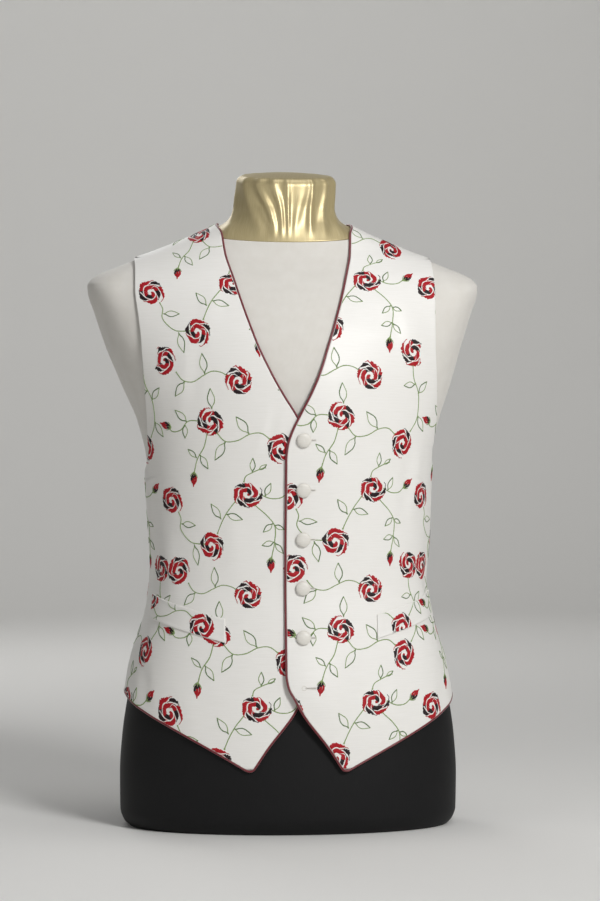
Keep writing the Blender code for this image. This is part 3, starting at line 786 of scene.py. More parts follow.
def makePiping(panel, side):
    points, normals = pipedEdge(panel)
    keep = [0]
    for k in range(1, len(points)):
        if np.linalg.norm(points[k] - points[keep[-1]]) > 0.8:
            keep.append(k)
    joined = np.concatenate([points[keep], normals[keep]], 1)
    lengths = lengthsAlong(joined)
    at = np.linspace(0, lengths[-1], int(round(lengths[-1] / piping["step"])) + 1)
    joined = np.stack([np.interp(at, lengths, joined[:, k]) for k in range(6)], -1)
    line, across = joined[:, :3], unit(joined[:, 3:])
    outward = unit(np.cross(np.gradient(line, axis=0), across))
    line = line + outward * (-piping["fromEdge"] if side == "right" else piping["fromEdge"])
    for _ in range(3):
        line[1:-1] += 0.25 * (line[:-2] + line[2:] - 2 * line[1:-1])
    tube = makeTube(line, across, piping["radius"], piping["sides"])
    addPiece(panel.replace("front", "piping"), "piping_" + side, "piping_silk", *tube, [maroonSilk])


for panel, side in fronts.items():
    makePiping(panel, side)
print("piping sewn round the fronts")


# pocket welts

welt = {
    "frontArc": {"frontLeft": 91.0, "frontRight": 79.0},
    "foot": {"frontLeft": 217.5, "frontRight": 214.0},
    "length": 103.0,
    "height": 27.0,
    "rise": 25.0,
    "gap": 0.2,  # pressed flat on the front
    "wall": 1.3,
    "edgeRadius": 0.65,
    "edgeSteps": [0, 0.2, 0.5, 0.9, 1.5, 2.5],
    "columns": 50,
    "rows": 12,
    "turnedIn": (0.25, 1.8, 1.1),  # rise, distance from the edge and reach of the turned-in edge's mark
}


def weltLevel(panel, along):
    # the height of the welt's foot this far along it
    return welt["foot"][panel] + welt["rise"] * along / welt["length"]


def weltPoints(panel, along, up, out):
    height = weltLevel(panel, along) + up
    return clothPoints(panel, height, welt["frontArc"][panel] + along, drape["wall"] + out)


def weltSteps(size, count):
    edge = np.array(welt["edgeSteps"])
    middle = np.linspace(edge[-1], size - edge[-1], count)
    return np.concatenate([edge[:-1], middle, (size - edge[:-1])[::-1]])


def makeWelt(panel, side):
    length, height, half = welt["length"], welt["height"], welt["wall"] / 2
    u, v = np.meshgrid(weltSteps(length, welt["columns"]), weltSteps(height, welt["rows"]))
    away = np.minimum(np.minimum(u, length - u), np.minimum(v, height - v))
    isRim = away < 1e-6
    rise, place, reach = welt["turnedIn"]
    thick = edgeThickness(away, welt["edgeRadius"], half)
    thick = thick + np.where(isRim, 0, rise * np.exp(-((away - place) / reach) ** 2))
    middle = welt["gap"] + half
    outer = weltPoints(panel, u, v, middle + thick)
    inner = weltPoints(panel, u, v, middle - np.minimum(thick, half))
    name = panel.replace("front", "welt")
    addWall(name, "welt_" + side, "front_silk", outer, inner, np.stack([u, v], -1), isRim, ivorySilk)


for panel, side in fronts.items():
    makeWelt(panel, side)
print("welts laid on")


# covered buttons and worked buttonholes

buttons = {
    "top": 442.0,
    "pitch": 55.5,
    "count": 6,
    "radius": 8.2,
    "gap": 0.7,
    "dome": 4.2,
    "hiddenDome": 2.6,
    "shank": 1.3,
    "sides": 48,
    "pleats": 20,
    "pleatDepth": 0.1,
    "pleatRadii": (6.2, 7.8),
}
buttonhole = {
    "length": 13.0,
    "back": 1.9,
    "slit": 0.2,
    "width": 0.8,
    "proud": 0.4,
    "purl": [(-1, -0.1), (-0.7, 0.6), (0, 1), (0.7, 0.8), (1, -0.1)],  # across a stitch, and its rise
    "shade": "#8F8A82",
}


def fasteningFrame(panel, height):
    # origin, across, up and outward at a button's or a buttonhole's place on the cloth
    level = np.array([float(height)])
    arc = np.array([float(drape["buttonArc"] if panel == "frontLeft" else -drape["buttonArc"])])
    place = clothPoints(panel, level, arc, np.array([drape["wall"]]))[0]
    normal = mirrored(panel, formSurface(level, arc)[1][0])
    across = unit(np.array([1.0, 0, 0]) - normal * normal[0])
    return place, across, np.cross(normal, across), normal


def makeButton(number, height):
    undone = number == buttons["count"]
    back = buttons["gap"] + (0.0 if undone else float(overLift(height, drape["buttonArc"])))
    dome = buttons["hiddenDome"] if undone else buttons["dome"]
    radius, shank, sides = buttons["radius"], buttons["shank"], buttons["sides"]
    # radius and level, from the shank's foot, under the button, round its rim and over its dome
    profile = [(0, 0.5), (shank, 0.5), (shank, back), (radius * 0.5, back), (radius * 0.84, back)]
    profile.append((radius * 0.93, back + dome * 0.06))
    for degrees in range(-30, 0, 6):
        turn = math.radians(degrees)
        level = back + dome * 0.34 * (1 + math.sin(turn) * 1.6)
        profile.append((radius * (0.62 + 0.38 * math.cos(turn)), max(level, back + 0.05)))
    for degrees in range(0, 91, 6):
        turn = math.radians(degrees)
        profile.append((radius * math.cos(turn) ** 0.8, back + dome * (0.34 + 0.66 * math.sin(turn))))
    radii, levels = np.array(profile)[:, :, None].transpose(1, 0, 2)
    turns = 2 * math.pi * np.arange(sides) / sides
    pleated = fade(radii, *buttons["pleatRadii"]) * (np.arange(len(radii)) > 4)[:, None]
    radii = radii + buttons["pleatDepth"] * np.cos(buttons["pleats"] * turns) * pleated
    x, y = radii * np.cos(turns), radii * np.sin(turns)
    place, across, up, normal = fasteningFrame("frontRight", height)
    points = place + x[..., None] * across + y[..., None] * up + levels[..., None] * normal
    uvs = np.stack([0.3 + x * mm, y * mm], -1)
    faces = [tuple(f) for f in gridFaces(len(profile), sides, closed=True)]
    faces.append(tuple(range(sides))[::-1])
    faces.append(tuple(range((len(profile) - 1) * sides, len(profile) * sides)))
    name, node = f"button{number}", f"button_{number}"
    # the darker button silk paints shade onto the buttons
    addPiece(name, node, "button_silk", points.reshape(-1, 3), faces, uvs.reshape(-1, 2), [buttonSilkPaintedShade])


def buttonholeOutline():
    # round the keyhole's eye, along the slit, round its bar and back
    length = buttonhole["length"]
    half = buttonhole["slit"] + buttonhole["width"] / 2
    eye, bar = np.radians(np.arange(30, 331, 12)), np.radians(np.arange(-75, 76, 15))
    there, home = np.arange(3.2, length, 0.5), np.arange(length - 0.5, 3.0, -0.5)
    start = (buttonhole["back"] + half) * np.stack([np.cos(eye), np.sin(eye)], 1)
    end = half * np.stack([np.cos(bar), np.sin(bar)], 1) + np.array([length, 0])
    edges = [np.stack([x, np.full(len(x), y)], 1) for x, y in ((there, -half), (home, half))]
    return np.concatenate([start, edges[0], end, edges[1]])


def makeButtonholes():
    # purl stitches in silk twist round the slit, and a dark gap where the slit opens
    outline = buttonholeOutline()
    ahead = unit(np.roll(outline, -1, 0) - np.roll(outline, 1, 0))
    side = np.stack([ahead[:, 1], -ahead[:, 0]], 1)
    shares, rises = np.array(buttonhole["purl"]).T
    width, length = buttonhole["width"], buttonhole["length"]
    purl = outline[:, None] + side[:, None] * shares[:, None] * width / 2
    purlUvs = np.stack(np.broadcast_arrays(lengthsAlong(outline)[:, None], shares * width), -1)
    gap = np.array([(1.0, -0.5), (length, -0.4), (length, 0.4), (1.0, 0.5)])
    flat = np.concatenate([purl.reshape(-1, 2), gap * np.array([1, 2 * buttonhole["slit"]])])
    lift = np.concatenate([np.tile(rises * buttonhole["proud"], len(outline)), np.full(len(gap), 0.12)])
    uvs = np.concatenate([purlUvs.reshape(-1, 2), gap]) * mm
    stitched = len(flat) - len(gap)
    ring = gridFaces(len(outline) + 1, len(shares)) % stitched
    hole = np.concatenate([ring, [np.arange(stitched, len(flat))]])
    points, faces = [], []
    for index in range(buttons["count"]):
        height = buttons["top"] - buttons["pitch"] * index
        place, across, up, normal = fasteningFrame("frontLeft", height)
        points.append(place + flat[:, :1] * across + flat[:, 1:] * up + lift[:, None] * normal)
        faces.append(hole + index * len(flat))
    addPiece(
        "buttonholes", None, "front_silk", np.concatenate(points), np.concatenate(faces),
        np.tile(uvs, (len(points), 1)), [twist, slitShade], ([0] * len(ring) + [1]) * len(points),
    )


# the dark inside a slit, which gives the eye its opening
slitLook = {"Base Color": linearColour(buttonhole["shade"]), "Roughness": 0.9}
slitShade = newMaterial("slitShadow", slitLook)[0]

for number in range(1, buttons["count"] + 1):
    makeButton(number, buttons["top"] - buttons["pitch"] * (number - 1))
makeButtonholes()
print("buttons and buttonholes done")


# embroidery: one repeat charted in millimetres across and up from the rose called open

repeat = {
    "across": 174.0,
    "up": 241.0,
    "origin": {"frontLeft": (87.0, 388.0), "frontRight": (-56.0, 382.0)},
    "lean": {"frontLeft": 0.0, "frontRight": -0.04},
    "weltShift": {"frontLeft": (-2.0, 30.0), "frontRight": (-95.0, 36.0)},
    # where fitting the front drew the pattern aside: arc, height, reach across and up, pull back and up
    "pulls": {
        "frontLeft": [(165, 350, 60, 110, -5, 0)],
        "frontRight": [(160, 320, 62, 80, -10, 2), (170, 190, 70, 60, 5, 8), (170, 560, 60, 90, -6, -2)],
    },
    # roses taken up in the fitting, at the armholes and a shoulder seam: arc, height, radius
    "takenUp": {"frontLeft": [(170, 538, 21)], "frontRight": [(176, 538, 21), (202, 656, 26)]},
    "roseRadius": 14.9,
    "roseHeart": 0.14,
    "roseGrowth": 0.40,  # how far a petal winds outward in one turn, as a share of the radius
    "petalGap": 0.07,
    "petalTuck": 19,  # degrees a petal reaches past its neighbours
    "roseEdge": 1.09,
    "stemWidth": 1.3,
    "leafWidth": 1.15,
    "proud": 0.42,
    "step": 1.1,
    "margin": 0.7,  # from an edge to the last stitch
    "trimmed": {"panel": 1.6, "welt": 1.4},  # stitches this far past the margin are drawn back to it
}
# across, up, turn in degrees, width to height, way it winds, pattern
roses = [
    (0, 0, -70, 1.14, 1, "open"),
    (-98, -10, 60, 0.96, -1, "coiled"),
    (-46, -60, 20, 1.0, -1, "coiled"),
    (-2, -116, 100, 0.9, 1, "ragged"),
    (-38, -160, 200, 1.04, -1, "ragged"),
    (40, -190, 150, 0.88, 1, "cupped"),
    (-91, -91, 120, 0.9, -1, "cupped"),
    (54, -87, 235, 0.92, -1, "ragged"),
]
# across, up and the way the bud points, in degrees from across
buds = [(51, 5, 40), (24, -80, -92), (-97, -163, 160), (-63, -225, -98)]
stems = [
    [(-3, 13), (-1, 19), (7, 24), (22, 30)],
    [(14, 0), (26, -5), (38, -4), (45, 1)],
    [(8, -12), (24, -27), (29, -34), (29, -54), (25, -72)],
    [(-13, -8), (-25, -23), (-32, -35), (-37, -46)],
    [(-54, -58), (-63, -58), (-72, -57), (-81, -51), (-88, -40), (-86, -30), (-89, -22)],
    [(-13, -111), (-20, -106), (-32, -104), (-44, -109), (-57, -115), (-68, -113), (-77, -103)],
    [(-51, -159), (-66, -159), (-77, -169), (-88, -170), (-93, -166)],
    [(-43, -173), (-48, -189), (-56, -201), (-62, -218)],
    [(-32, -172), (-22, -182), (-8, -181), (6, -174), (18, -173), (28, -180)],
    [(50, -177), (59, -163), (61, -150), (60, -131), (54, -118), (52, -99)],
]
# from the stem to the tip
leaves = [
    (7, 24, 8, 40), (14, 27, 23, 33),
    (20, -3, 27, 12),
    (28, -33, 17, -43), (29, -35, 40, -40), (29, -54, 15, -58), (29, -55, 38, -67),
    (-31, -29, -43, -12), (-25, -23, -6, -29),
    (-86, -36, -66, -37), (-69, -59, -64, -82),
    (-41, -107, -42, -84), (-66, -114, -80, -130),
    (-36, -146, -36, -123),
    (-67, -160, -82, -146), (-70, -162, -71, -178),
    (-57, -201, -68, -191), (-53, -197, -44, -213),
    (-22, -182, -35, -203), (5, -174, -9, -155),
    (60, -158, 72, -176), (56, -123, 40, -125), (60, -134, 73, -120),
]
# Each rose winds out from its heart in broken petals: from and to in degrees of winding, then the
# stretch that is worked in the near-black floss.
rosePatterns = {
    "open": [
        (0, 200, 0.30, 0.75), (208, 300, 0.00, 0.00), (308, 392, 0.25, 1.00), (400, 488, 0.00, 0.10),
        (496, 560, 0.50, 1.00), (568, 640, 0.00, 0.00), (648, 690, 0.10, 1.00), (698, 752, 0.00, 0.20),
        (760, 800, 0.15, 1.00),
    ],
    "coiled": [
        (0, 250, 0.50, 0.80), (258, 350, 0.00, 0.00), (358, 450, 0.45, 1.00), (458, 540, 0.00, 0.00),
        (548, 600, 0.15, 1.00), (608, 690, 0.00, 0.20), (698, 738, 0.20, 1.00), (746, 806, 0.00, 0.15),
    ],
    "cupped": [
        (0, 270, 0.20, 0.50), (278, 380, 0.00, 0.20), (388, 470, 0.50, 1.00), (478, 590, 0.00, 0.00),
        (598, 640, 0.00, 1.00), (648, 716, 0.00, 0.00), (724, 764, 0.10, 1.00), (772, 820, 0.00, 0.30),
    ],
    "ragged": [
        (0, 220, 0.50, 1.00), (228, 300, 0.00, 0.00), (308, 372, 0.40, 1.00), (380, 470, 0.00, 0.25),
        (478, 540, 0.35, 1.00), (548, 600, 0.00, 0.00), (608, 650, 0.00, 0.50), (658, 712, 0.00, 0.00),
        (720, 756, 0.10, 1.00), (764, 812, 0.00, 0.20),
    ],
}
# petals of a bud: offset, width, the stretch in near-black floss and the reach
budPetals = [(-2.9, 1.45, 0.0, 0.7, 12.5), (2.9, 1.45, 0.0, 0.25, 13), (0, 1.75, 0.1, 0.35, 15.5)]
leafShape = [(0, 0), (0.12, 0.14), (0.32, 0.82), (0.54, 1.0), (0.78, 0.58), (1.02, -0.05)]
threads = [redThread, darkThread, greenThread, deepGreenThread]
red, dark, green, deepGreen = range(4)
# across a strip of stitches, and its rise
crossSection = [(-1, -0.25), (-0.62, 0.72), (0, 1.0), (0.62, 0.72), (1, -0.25)]


def addStrip(stitches, line, halfWidths, kinds, proud):
    # a satin-stitched strip along a flat line; the stitches run across it
    count, columns = len(line), len(crossSection)
    tangents = unit(np.gradient(line, axis=0))
    side = np.stack([-tangents[:, 1], tangents[:, 0]], 1)
    lengths = lengthsAlong(line)
    start = len(stitches["flat"])
    for k in range(count):
        ends = min(1.0, k / 1.5, (count - 1 - k) / 1.5)
        for share, rise in crossSection:
            half = halfWidths[k][0] if share < 0 else halfWidths[k][1]
            stitches["flat"].append(line[k] + side[k] * share * half)
            stitches["out"].append(rise * proud * (0.35 + 0.65 * ends) if rise > 0 else rise * proud)
            stitches["uv"].append((lengths[k] * mm, share * half * mm))
    stitches["faces"] += gridFaces(count, columns, start)[:, ::-1].tolist()
    stitches["kind"] += np.repeat(kinds, columns - 1).tolist()


def petalKinds(count, darkFrom, darkTo):
    return [dark if darkFrom <= (k + 0.5) / (count - 1) < darkTo else red for k in range(count - 1)]


def addRose(stitches, across, up, turn, stretch, winds, pattern, draw):
    radius, tuck = repeat["roseRadius"], repeat["petalTuck"]
    heart, growth, gap = repeat["roseHeart"], repeat["roseGrowth"], repeat["petalGap"]
    last = rosePatterns[pattern][-1][1]
    width = growth - gap
    for begin, end, darkFrom, darkTo in rosePatterns[pattern]:
        first = begin - (tuck if begin else 0)
        length = math.radians(end + tuck - first) * (heart + growth * (begin + end) / 720) * radius
        count = max(7, int(length / repeat["step"]) + 2)
        winding = first + (end + tuck - first) * np.linspace(0, 1, count)
        inner = heart + growth * winding / 360 - width / 2
        # a petal's start slips under the one before and its end lies over the next, with a slanting gap
        tail = inner + width * fade(winding, end - tuck, end + tuck) + gap * 0.5 * (winding > end - tuck)
        if begin:
            head = inner + width * fade(winding, begin - tuck, begin + tuck) - gap * 0.5
            outer = np.where(winding < begin + tuck, head, inner + width)
        else:
            outer = inner + width * (0.45 + 0.55 * fade(winding, 0, 120))
        outer = np.minimum(outer, repeat["roseEdge"])
        inner = np.minimum(np.maximum(tail, inner), outer)
        ragged = 0.012 + 0.03 * begin / last
        outer = outer * (1 + ragged * draw.standard_normal(count))
        half = np.maximum(outer - inner, 0.05) / 2 * radius / 0.92
        away = np.clip((inner + outer) / 2, 0.06, 1.2) * (1 + 0.04 * np.cos(5 * np.radians(winding)))
        angle = np.radians(turn + winds * winding)
        line = np.stack([
            across + radius * math.sqrt(stretch) * away * np.cos(angle),
            up + radius / math.sqrt(stretch) * away * np.sin(angle),
        ], 1)
        kinds = petalKinds(count, darkFrom, darkTo)
        addStrip(stitches, line, np.stack([half, half], 1), kinds, repeat["proud"] * 1.15)


def addBud(stitches, across, up, degrees, draw):
    way = math.radians(degrees)
    ahead = np.array([math.cos(way), math.sin(way)])
    side = np.array([-ahead[1], ahead[0]])
    base = np.array([across, up]) - ahead * 7
    t = np.linspace(0, 1, 13)
    for offset, width, darkFrom, darkTo, reach in budPetals:
        bow = np.sin(math.pi * np.clip(t * 0.9 + 0.05, 0, 1))
        line = base + ahead * (0.5 + reach * t[:, None]) + side * (offset * bow)[:, None]
        half = (width * np.sin(math.pi * np.clip(t, 0.06, 0.95)) ** 0.5)[:, None]
        half = half * np.clip(1 + 0.1 * draw.standard_normal((13, 2)), 0.75, 1.25)
        addStrip(stitches, line, half, petalKinds(13, darkFrom, darkTo), repeat["proud"] * 1.2)
    t = np.linspace(0, 1, 7)
    for lean in (-1.0, 0.0, 1.0):
        spread = side * (lean * 4.6 * np.sin(t * math.pi / 2))[:, None]
        line = base + ahead * (6.2 * t[:, None] - 1.2) + spread
        half = np.stack([0.95 * (1 - 0.7 * t)] * 2, 1)
        addStrip(stitches, line, half, [green] * 6, repeat["proud"] * 1.4)


def curveThrough(points, step):
    # a smooth line through a few places, one stitch apart
    points = np.asarray(points, float)
    reach = lengthsAlong(points)
    at = np.linspace(0, reach[-1], max(3, int(reach[-1] / step) + 1))
    slopes = np.gradient(points, reach, axis=0)
    i = np.clip(np.searchsorted(reach, at) - 1, 0, len(points) - 2)
    gap = reach[i + 1] - reach[i]
    t = (at - reach[i]) / gap
    return hermite(t[:, None], gap[:, None], points[i], slopes[i], points[i + 1], slopes[i + 1])


def addStroke(stitches, points, width, draw, kind=green, knots=0.0):
    line = curveThrough(points, repeat["step"])
    t = np.arange(len(line)) * repeat["step"]
    thick = 1 + knots * (np.exp(-((t / 1.6) ** 2)) + np.exp(-(((t[-1] - t) / 1.6) ** 2)))
    half = width / 2 * thick[:, None] * np.clip(1 + 0.12 * draw.standard_normal((len(line), 2)), 0.7, 1.3)
    addStrip(stitches, line, half, [kind] * (len(line) - 1), repeat["proud"] * 0.8)


def addLeaf(stitches, fromAcross, fromUp, toAcross, toUp, draw):
    # worked in outline only, the shaded side in the deeper green
    base, tip = np.array([fromAcross, fromUp], float), np.array([toAcross, toUp], float)
    axis = tip - base
    side = np.array([-axis[1], axis[0]])
    plump = 0.17 + 0.03 * draw.random()
    shaded = 1 if draw.random() < 0.5 else -1
    for sign in (1, -1):
        points = [base + axis * along + side * sign * plump * bulge for along, bulge in leafShape]
        width, kind = (1.15, deepGreen) if sign == shaded else (0.9, green)
        addStroke(stitches, points, repeat["leafWidth"] * width, draw, kind)


def makeRepeat():
    draw = np.random.default_rng(7)
    stitches = {"flat": [], "out": [], "uv": [], "faces": [], "kind": []}
    for points in stems:
        addStroke(stitches, points, repeat["stemWidth"], draw, green, 0.8)
    for leaf in leaves:
        addLeaf(stitches, *leaf, draw)
    for rose in roses:
        addRose(stitches, *rose, draw)
    for bud in buds:
        addBud(stitches, *bud, draw)
    return {name: np.array(values) for name, values in stitches.items()}


# how far up the cloth each height lies, measured along the chest
flatHeights = np.arange(60, 700)
flatLengths = lengthsAlong(formSurface(flatHeights, np.full(len(flatHeights), 90.0))[0])
flatLengths = flatLengths - np.interp(400, flatHeights, flatLengths) + 400


def placeRepeats(panel, chart, shift, keepInside, out):
    # lays the repeats over a panel, drops what lies outside it and trims what crosses its edge
    side = -1 if panel.endswith("Right") else 1
    originAcross, originUp = repeat["origin"][panel]
    startAcross = originAcross + shift[0]
    startUp = np.interp(originUp, flatHeights, flatLengths) + shift[1]
    points, faces, uvs, kinds = [], [], [], []
    total = 0
    for column in range(-2, 3):
        for row in range(-2, 3):
            across = chart["flat"][:, 0] + startAcross + column * repeat["across"]
            up = chart["flat"][:, 1] + startUp + row * repeat["up"]
            height = np.interp(up, flatLengths, flatHeights)
            inReach = (up > flatLengths[0]) & (up < flatLengths[-1])
            arc = side * (across + repeat["lean"][panel] * (height - originUp))
            for place, level, reachAcross, reachUp, back, lift in repeat["pulls"][panel]:
                near = np.exp(-(((arc - place) / reachAcross) ** 2) - ((height - level) / reachUp) ** 2)
                arc, height = arc + near * back, height + near * lift
            kept, height, arc = keepInside(panel, height, arc)
            good = (kept & inReach)[chart["faces"]].all(1)
            used = np.unique(chart["faces"][good])
            renumber = np.zeros(len(height), int)
            renumber[used] = np.arange(len(used)) + total
            points.append(clothPoints(panel, height[used], arc[used], out + chart["out"][used]))
            faces.append(renumber[chart["faces"][good]])
            uvs.append(chart["uv"][used])
            kinds.append(chart["kind"][good])
            total += len(used)
    return tuple(np.concatenate(parts) for parts in (points, faces, uvs, kinds))


def insidePanel(panel, height, arc):
    rim, margin, slack = panelRims[panel], repeat["margin"], repeat["trimmed"]["panel"]
    first = np.interp(height, rim["heights"], rim["firsts"]) + margin
    last = np.interp(height, rim["heights"], rim["lasts"]) - margin
    kept = (arc > first - slack) & (arc < last + slack)
    kept &= (height > cut["tipHeight"] + margin) & (height < cut["neckTop"] - margin)
    along = arc - welt["frontArc"][panel]
    up = height - weltLevel(panel, along)
    kept &= ~((along > 1) & (along < welt["length"] - 1) & (up > 1) & (up < welt["height"] - 1))
    for place, level, radius in repeat["takenUp"][panel]:
        kept &= np.hypot(arc - place, height - level) > radius
    return kept, height, np.clip(arc, first, last)


def insideWelt(panel, height, arc):
    margin, slack = repeat["margin"], repeat["trimmed"]["welt"]
    along = arc - welt["frontArc"][panel]
    up = height - weltLevel(panel, along)
    kept = np.ones(len(arc), bool)
    for value, size in ((along, welt["length"]), (up, welt["height"])):
        kept &= (value > margin - slack) & (value < size - margin + slack)
    along = np.clip(along, margin, welt["length"] - margin)
    up = np.clip(up, margin, welt["height"] - margin)
    return kept, weltLevel(panel, along) + up, welt["frontArc"][panel] + along


def makeEmbroidery():
    chart = makeRepeat()
    onPanel = drape["wall"]
    onWelt = drape["wall"] + welt["gap"] + welt["wall"]
    for panel in fronts:
        for name, shift, keepInside, out in (
            ("embroidery", (0, 0), insidePanel, onPanel),
            ("weltEmbroidery", repeat["weltShift"][panel], insideWelt, onWelt),
        ):
            points, faces, uvs, kinds = placeRepeats(panel, chart, shift, keepInside, out)
            addPiece(panel.replace("front", name), None, "front_silk", points, faces, uvs, threads, kinds)


makeEmbroidery()
print("embroidery worked on the fronts and welts")


# the dress form's covers

covers = {
    "jersey": ("#DFDCD6", "#D3CFC7"),
    "jerseyWale": 1.3,  # the real ribs of the knit are 0.8 mm apart
    # light and dark tone, roughness, metal, specular level and strength of the grain
    "blackCottonSateen": ("#161617", "#0D0D0E", 0.6, 0.0, 0.2, 0.3),
    "goldSatin": ("#D0C298", "#B3A173", 0.4, 0.45, 0.5, 0.2),
    "sateenGrain": (900.0, 60.0, 1.0),  # streaks to the metre, across and along
    "ringStep": 3.0,
    "columns": 320,
    "seamGap": 0.3,
    # folds of the neck cover: arc at its foot and at its top, reach at the foot and at the top, rise, bend
    "neckFolds": [
        (-33, -58, 6, 7, 2.0, 1.0),
        (-15, -37, 4.0, 6.0, 3.4, 1.4),
        (-6, -19, 2.8, 4.8, 3.2, 2.0),
        (1.5, -3, 2.0, 3.4, 2.4, 1.6),
        (9, 17, 3.0, 8.0, 1.2, 0.8),
        (27, 27, 4.0, 3.0, 3.0, 0.5),
        (44, 47, 5, 4.0, 2.6, 1.0),
        (66, 68, 8, 6, 2.0, 1.2),
        (-70, -82, 8, 6, 2.2, 1.0),
        (96, 92, 9, 7, 2.4, 1.0),
        (-104, -110, 9, 7, 2.2, 1.0),
        (128, 132, 10, 8, 2.6, 1.0),
        (-140, -134, 10, 7, 2.4, 1.0),
        (158, 160, 9, 8, 2.2, 1.0),
        (-166, -164, 10, 8, 2.0, 1.0),
    ],
    "neckFoldLevels": (684, 741),
}


def makeJersey():
    # cotton jersey stretched over the padding: matt, with fine upright ribs
    light, shade = covers["jersey"]
    settings = {"Roughness": 0.88, "Sheen Weight": 0.25, "IOR": 1.5}
    made, tree, shader, place = newCloth("offWhiteJersey", settings)
    ribs = addWaves(tree, place, "X", covers["jerseyWale"], {"Distortion": 0.8, "Detail": 1.0})
    colourBetween(tree, shader, addNoise(tree, place, {"Scale": 60.0, "Detail": 3.0}), shade, light)
    addRelief(tree, shader, ribs, 0.35, 0.0002)
    return made


def makeSateen(name):
    # sateen: long floats that give the eye a broad, soft highlight along the folds
    light, shade, roughness, metal, specular, grain = covers[name]
    made, tree, shader, place = newCloth(name, {
        "Roughness": roughness, "Metallic": metal, "Specular IOR Level": specular, "IOR": 1.54,
    })
    streak = addNoise(tree, place, {"Scale": 1.0, "Detail": 4.0}, covers["sateenGrain"])
    colourBetween(tree, shader, streak, shade, light)
    addRelief(tree, shader, streak, grain, 0.0002)
    return made


def neckSwell(height, arcs):
    # folds run up from a gathered point low on the front; behind they hang plain and upright
    foot, top = covers["neckFoldLevels"]
    t = np.clip((height - foot) / (top - foot), 0, 1)
    total = np.zeros(len(arcs))
    for low, high, lowReach, highReach, rise, bend in covers["neckFolds"]:
        place = low + (high - low) * t**bend
        reach = lowReach + (highReach - lowReach) * t
        total += rise * np.exp(-(((arcs - place) / reach) ** 2))
    return total * fade(height, 668, 696) * (1 - 0.35 * fade(height, 722, 741))


def coverRing(levels, inset=0.0, rise=0.0, swell=None):
    # one ring of a cover, tilted with the neck's top; inset draws it to the neck's axis
    half = covers["columns"] // 2
    levels = np.broadcast_to(np.asarray(levels, float), covers["columns"])
    near = levels[:half + 1]
    arcs = np.array([backArc(round(float(h), 1)) for h in near]) * np.linspace(0, 1, half + 1)
    left, normals = formSurface(near, arcs)
    right = mirrored("Right", left)
    if swell is not None:
        right = right + mirrored("Right", normals) * swell(near, -arcs)[:, None]
        left = left + normals * swell(near, arcs)[:, None]
    ring = np.concatenate([left, right[-2:0:-1]])
    axis = np.array([0, formShape["neckAxisY"], 0])
    if inset:
        flat = ring - axis
        away = np.hypot(flat[:, 0], flat[:, 1])
        flat[:, :2] *= ((away - inset) / away)[:, None]
        ring = flat + axis
    ring[:, 2] += rise
    tilt = formShape["neckTopTilt"] * fade(levels, formShape["neckTiltFrom"], formShape["neckRoundFrom"])
    ring[:, 2] += tilt * (ring[:, 1] - formShape["neckAxisY"])
    return swayed(ring, levels)


def makeCover(name, node, rings, material):
    # a closed cover from rings, capped at its foot and its top
    rings = np.array(rings)
    rows, columns = rings.shape[:2]
    half = columns // 2
    around = np.linalg.norm(np.roll(rings, -1, 1) - rings, axis=2)
    turned = np.concatenate([np.zeros((rows, 1)), np.cumsum(around, 1)[:, :-1]], 1)
    turned = np.where(np.arange(columns) > half, turned[:, half:half + 1] * 2 - turned, turned)
    uvs = np.stack(np.broadcast_arrays(turned, lengthsAlong(rings[:, 0])[:, None]), -1) * mm
    faces = [tuple(f) for f in gridFaces(rows, columns, closed=True)]
    faces.append(tuple(range(columns))[::-1])
    faces.append(tuple(range((rows - 1) * columns, rows * columns)))
    addPiece(name, node, node + "_cover", rings.reshape(-1, 3), faces, uvs.reshape(-1, 2), [material])


def makeLowerCover():
    low = [0, 0.6, 1.5, 2.5, 4, 6, 9, 13]
    heights = low + list(np.arange(16, formShape["lowerTop"] + covers["ringStep"], covers["ringStep"]))
    foot = coverRing(0.0)
    centre = foot.mean(0)
    underside = [(centre + (foot - centre) * share) * np.array([1, 1, 0]) for share in (0.5, 0.97)]
    rings = underside + [coverRing(h) for h in heights]
    makeCover("formLowerCover", "form_lower", rings, makeSateen("blackCottonSateen"))


def neckSeamLevels(foot):
    # the height, column by column, at which the body's cover meets the neck's along a tilted seam
    heights = np.arange(foot, surfaceTop, covers["ringStep"] / 1.5)
    body = np.array([coverRing(h) for h in heights])
    past = body[..., 2] - formShape["neckSeamHeight"] - formShape["neckSeamTilt"] * body[..., 1]
    return np.array([np.interp(0, past[:, k], heights) for k in range(body.shape[1])])


def makeUpperCovers():
    # rings share out the height up to the tilted seam, column by column, and from there to the neck's top
    foot = formShape["lowerTop"] + covers["seamGap"]
    top, corner = formShape["neckRoundFrom"], formShape["neckCorner"]
    seam = neckSeamLevels(foot)
    shares = np.concatenate([np.linspace(0, 0.8, 110), np.linspace(0.8, 1, 90)[1:]])
    rings = [coverRing(foot + (seam - foot) * share) for share in shares]
    makeCover("formBodyCover", "form_body", rings, makeJersey())
    rings = [coverRing(seam + (top - seam) * share, swell=neckSwell) for share in np.linspace(0, 1, 46)]
    for turn in np.radians(range(9, 91, 9)):
        rings.append(coverRing(top, corner * (1 - math.cos(turn)), corner * math.sin(turn), neckSwell))
    for inset, rise in ((14, 0.5), (19, 1.0), (27, 1.7), (36, 2.2), (42, 2.4)):
        rings.append(coverRing(top, inset, corner + rise))
    makeCover("formNeckCover", "form_neck", rings, makeSateen("goldSatin"))


makeLowerCover()
makeUpperCovers()
print("form covered")
# studio: a pale floor that curves up to a low wall all round, and soft lights

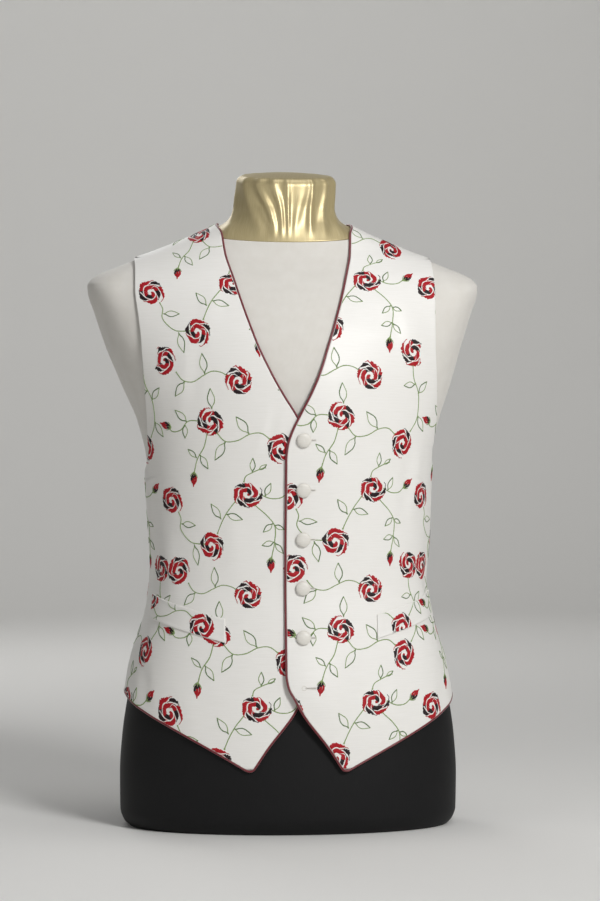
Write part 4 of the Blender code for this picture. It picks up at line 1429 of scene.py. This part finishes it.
studio = {
    "floorRadius": 4200,
    "curveRadius": 1400,
    "wallHeight": 3600,
    "floor": ("#E6E5E2", "#EAE9E6"),
    # place and aim in millimetres, width, power in watts, colour
    "lights": [
        ("keyLight", (1300, -2600, 1950), (0, 0, 400), 900, 69, "#FFFFFF"),
        ("fillLight", (-2400, -1900, 1200), (0, 0, 400), 1800, 5, "#F8FAFF"),
        ("topLight", (400, -300, 2900), (0, 0, 400), 1500, 12, "#FFFFFF"),
        ("backLight", (-900, 2400, 1900), (0, 0, 400), 1500, 14, "#FFFFFF"),
        ("wallLight", (0, 2600, 2700), (0, 5300, 900), 1500, 28, "#FFFFFF"),
    ],
    "world": "#EDEEF0",
    "worldStrength": 0.13,
}


def makeFloor():
    # matt paper: faint cloudy tones keep the pale floor from looking flat
    paint, tree, shader = newMaterial("paleStudioFloor", {"Roughness": 0.75, "Specular IOR Level": 0.3})
    colourBetween(tree, shader, addNoise(tree, None, {"Scale": 3.0, "Detail": 2.0}), *studio["floor"])
    reach, radius, sides = studio["floorRadius"], studio["curveRadius"], 96
    profile = [(0.5, 0), (1500, 0), (reach, 0)]
    for turn in np.radians(range(10, 91, 10)):
        profile.append((reach + radius * math.sin(turn), radius * (1 - math.cos(turn))))
    profile.append((reach + radius, studio["wallHeight"]))
    points = [
        (r * math.cos(2 * math.pi * k / sides) * mm, r * math.sin(2 * math.pi * k / sides) * mm, z * mm)
        for r, z in profile for k in range(sides)
    ]
    faces = [tuple(f) for f in gridFaces(len(profile), sides, closed=True)[:, ::-1]] + [tuple(range(sides))]
    mesh = bpy.data.meshes.new("studioFloor")
    mesh.from_pydata(points, [], faces)
    mesh.materials.append(paint)
    mesh.shade_smooth()
    floor = bpy.data.objects.new("studioFloor", mesh)
    bpy.context.scene.collection.objects.link(floor)


def addLight(name, place, target, size, power, tint):
    data = bpy.data.lights.new(name, "AREA")
    data.shape = "DISK"
    data.size = size * mm
    data.energy = power
    data.color = linearColour(tint)[:3]
    light = bpy.data.objects.new(name, data)
    place = Vector(place)
    aim = Vector(target) - place
    light.matrix_world = Matrix.Translation(place * mm) @ aim.to_track_quat("-Z", "Y").to_matrix().to_4x4()
    bpy.context.scene.collection.objects.link(light)


def makeWorld():
    world = bpy.data.worlds.new("studioAir")
    world.use_nodes = True
    background = world.node_tree.nodes["Background"]
    background.inputs["Color"].default_value = linearColour(studio["world"])
    background.inputs["Strength"].default_value = studio["worldStrength"]
    bpy.context.scene.world = world
    bpy.context.scene.view_settings.view_transform = "Standard"


makeFloor()
for light in studio["lights"]:
    addLight(*light)
makeWorld()
print("studio lit")
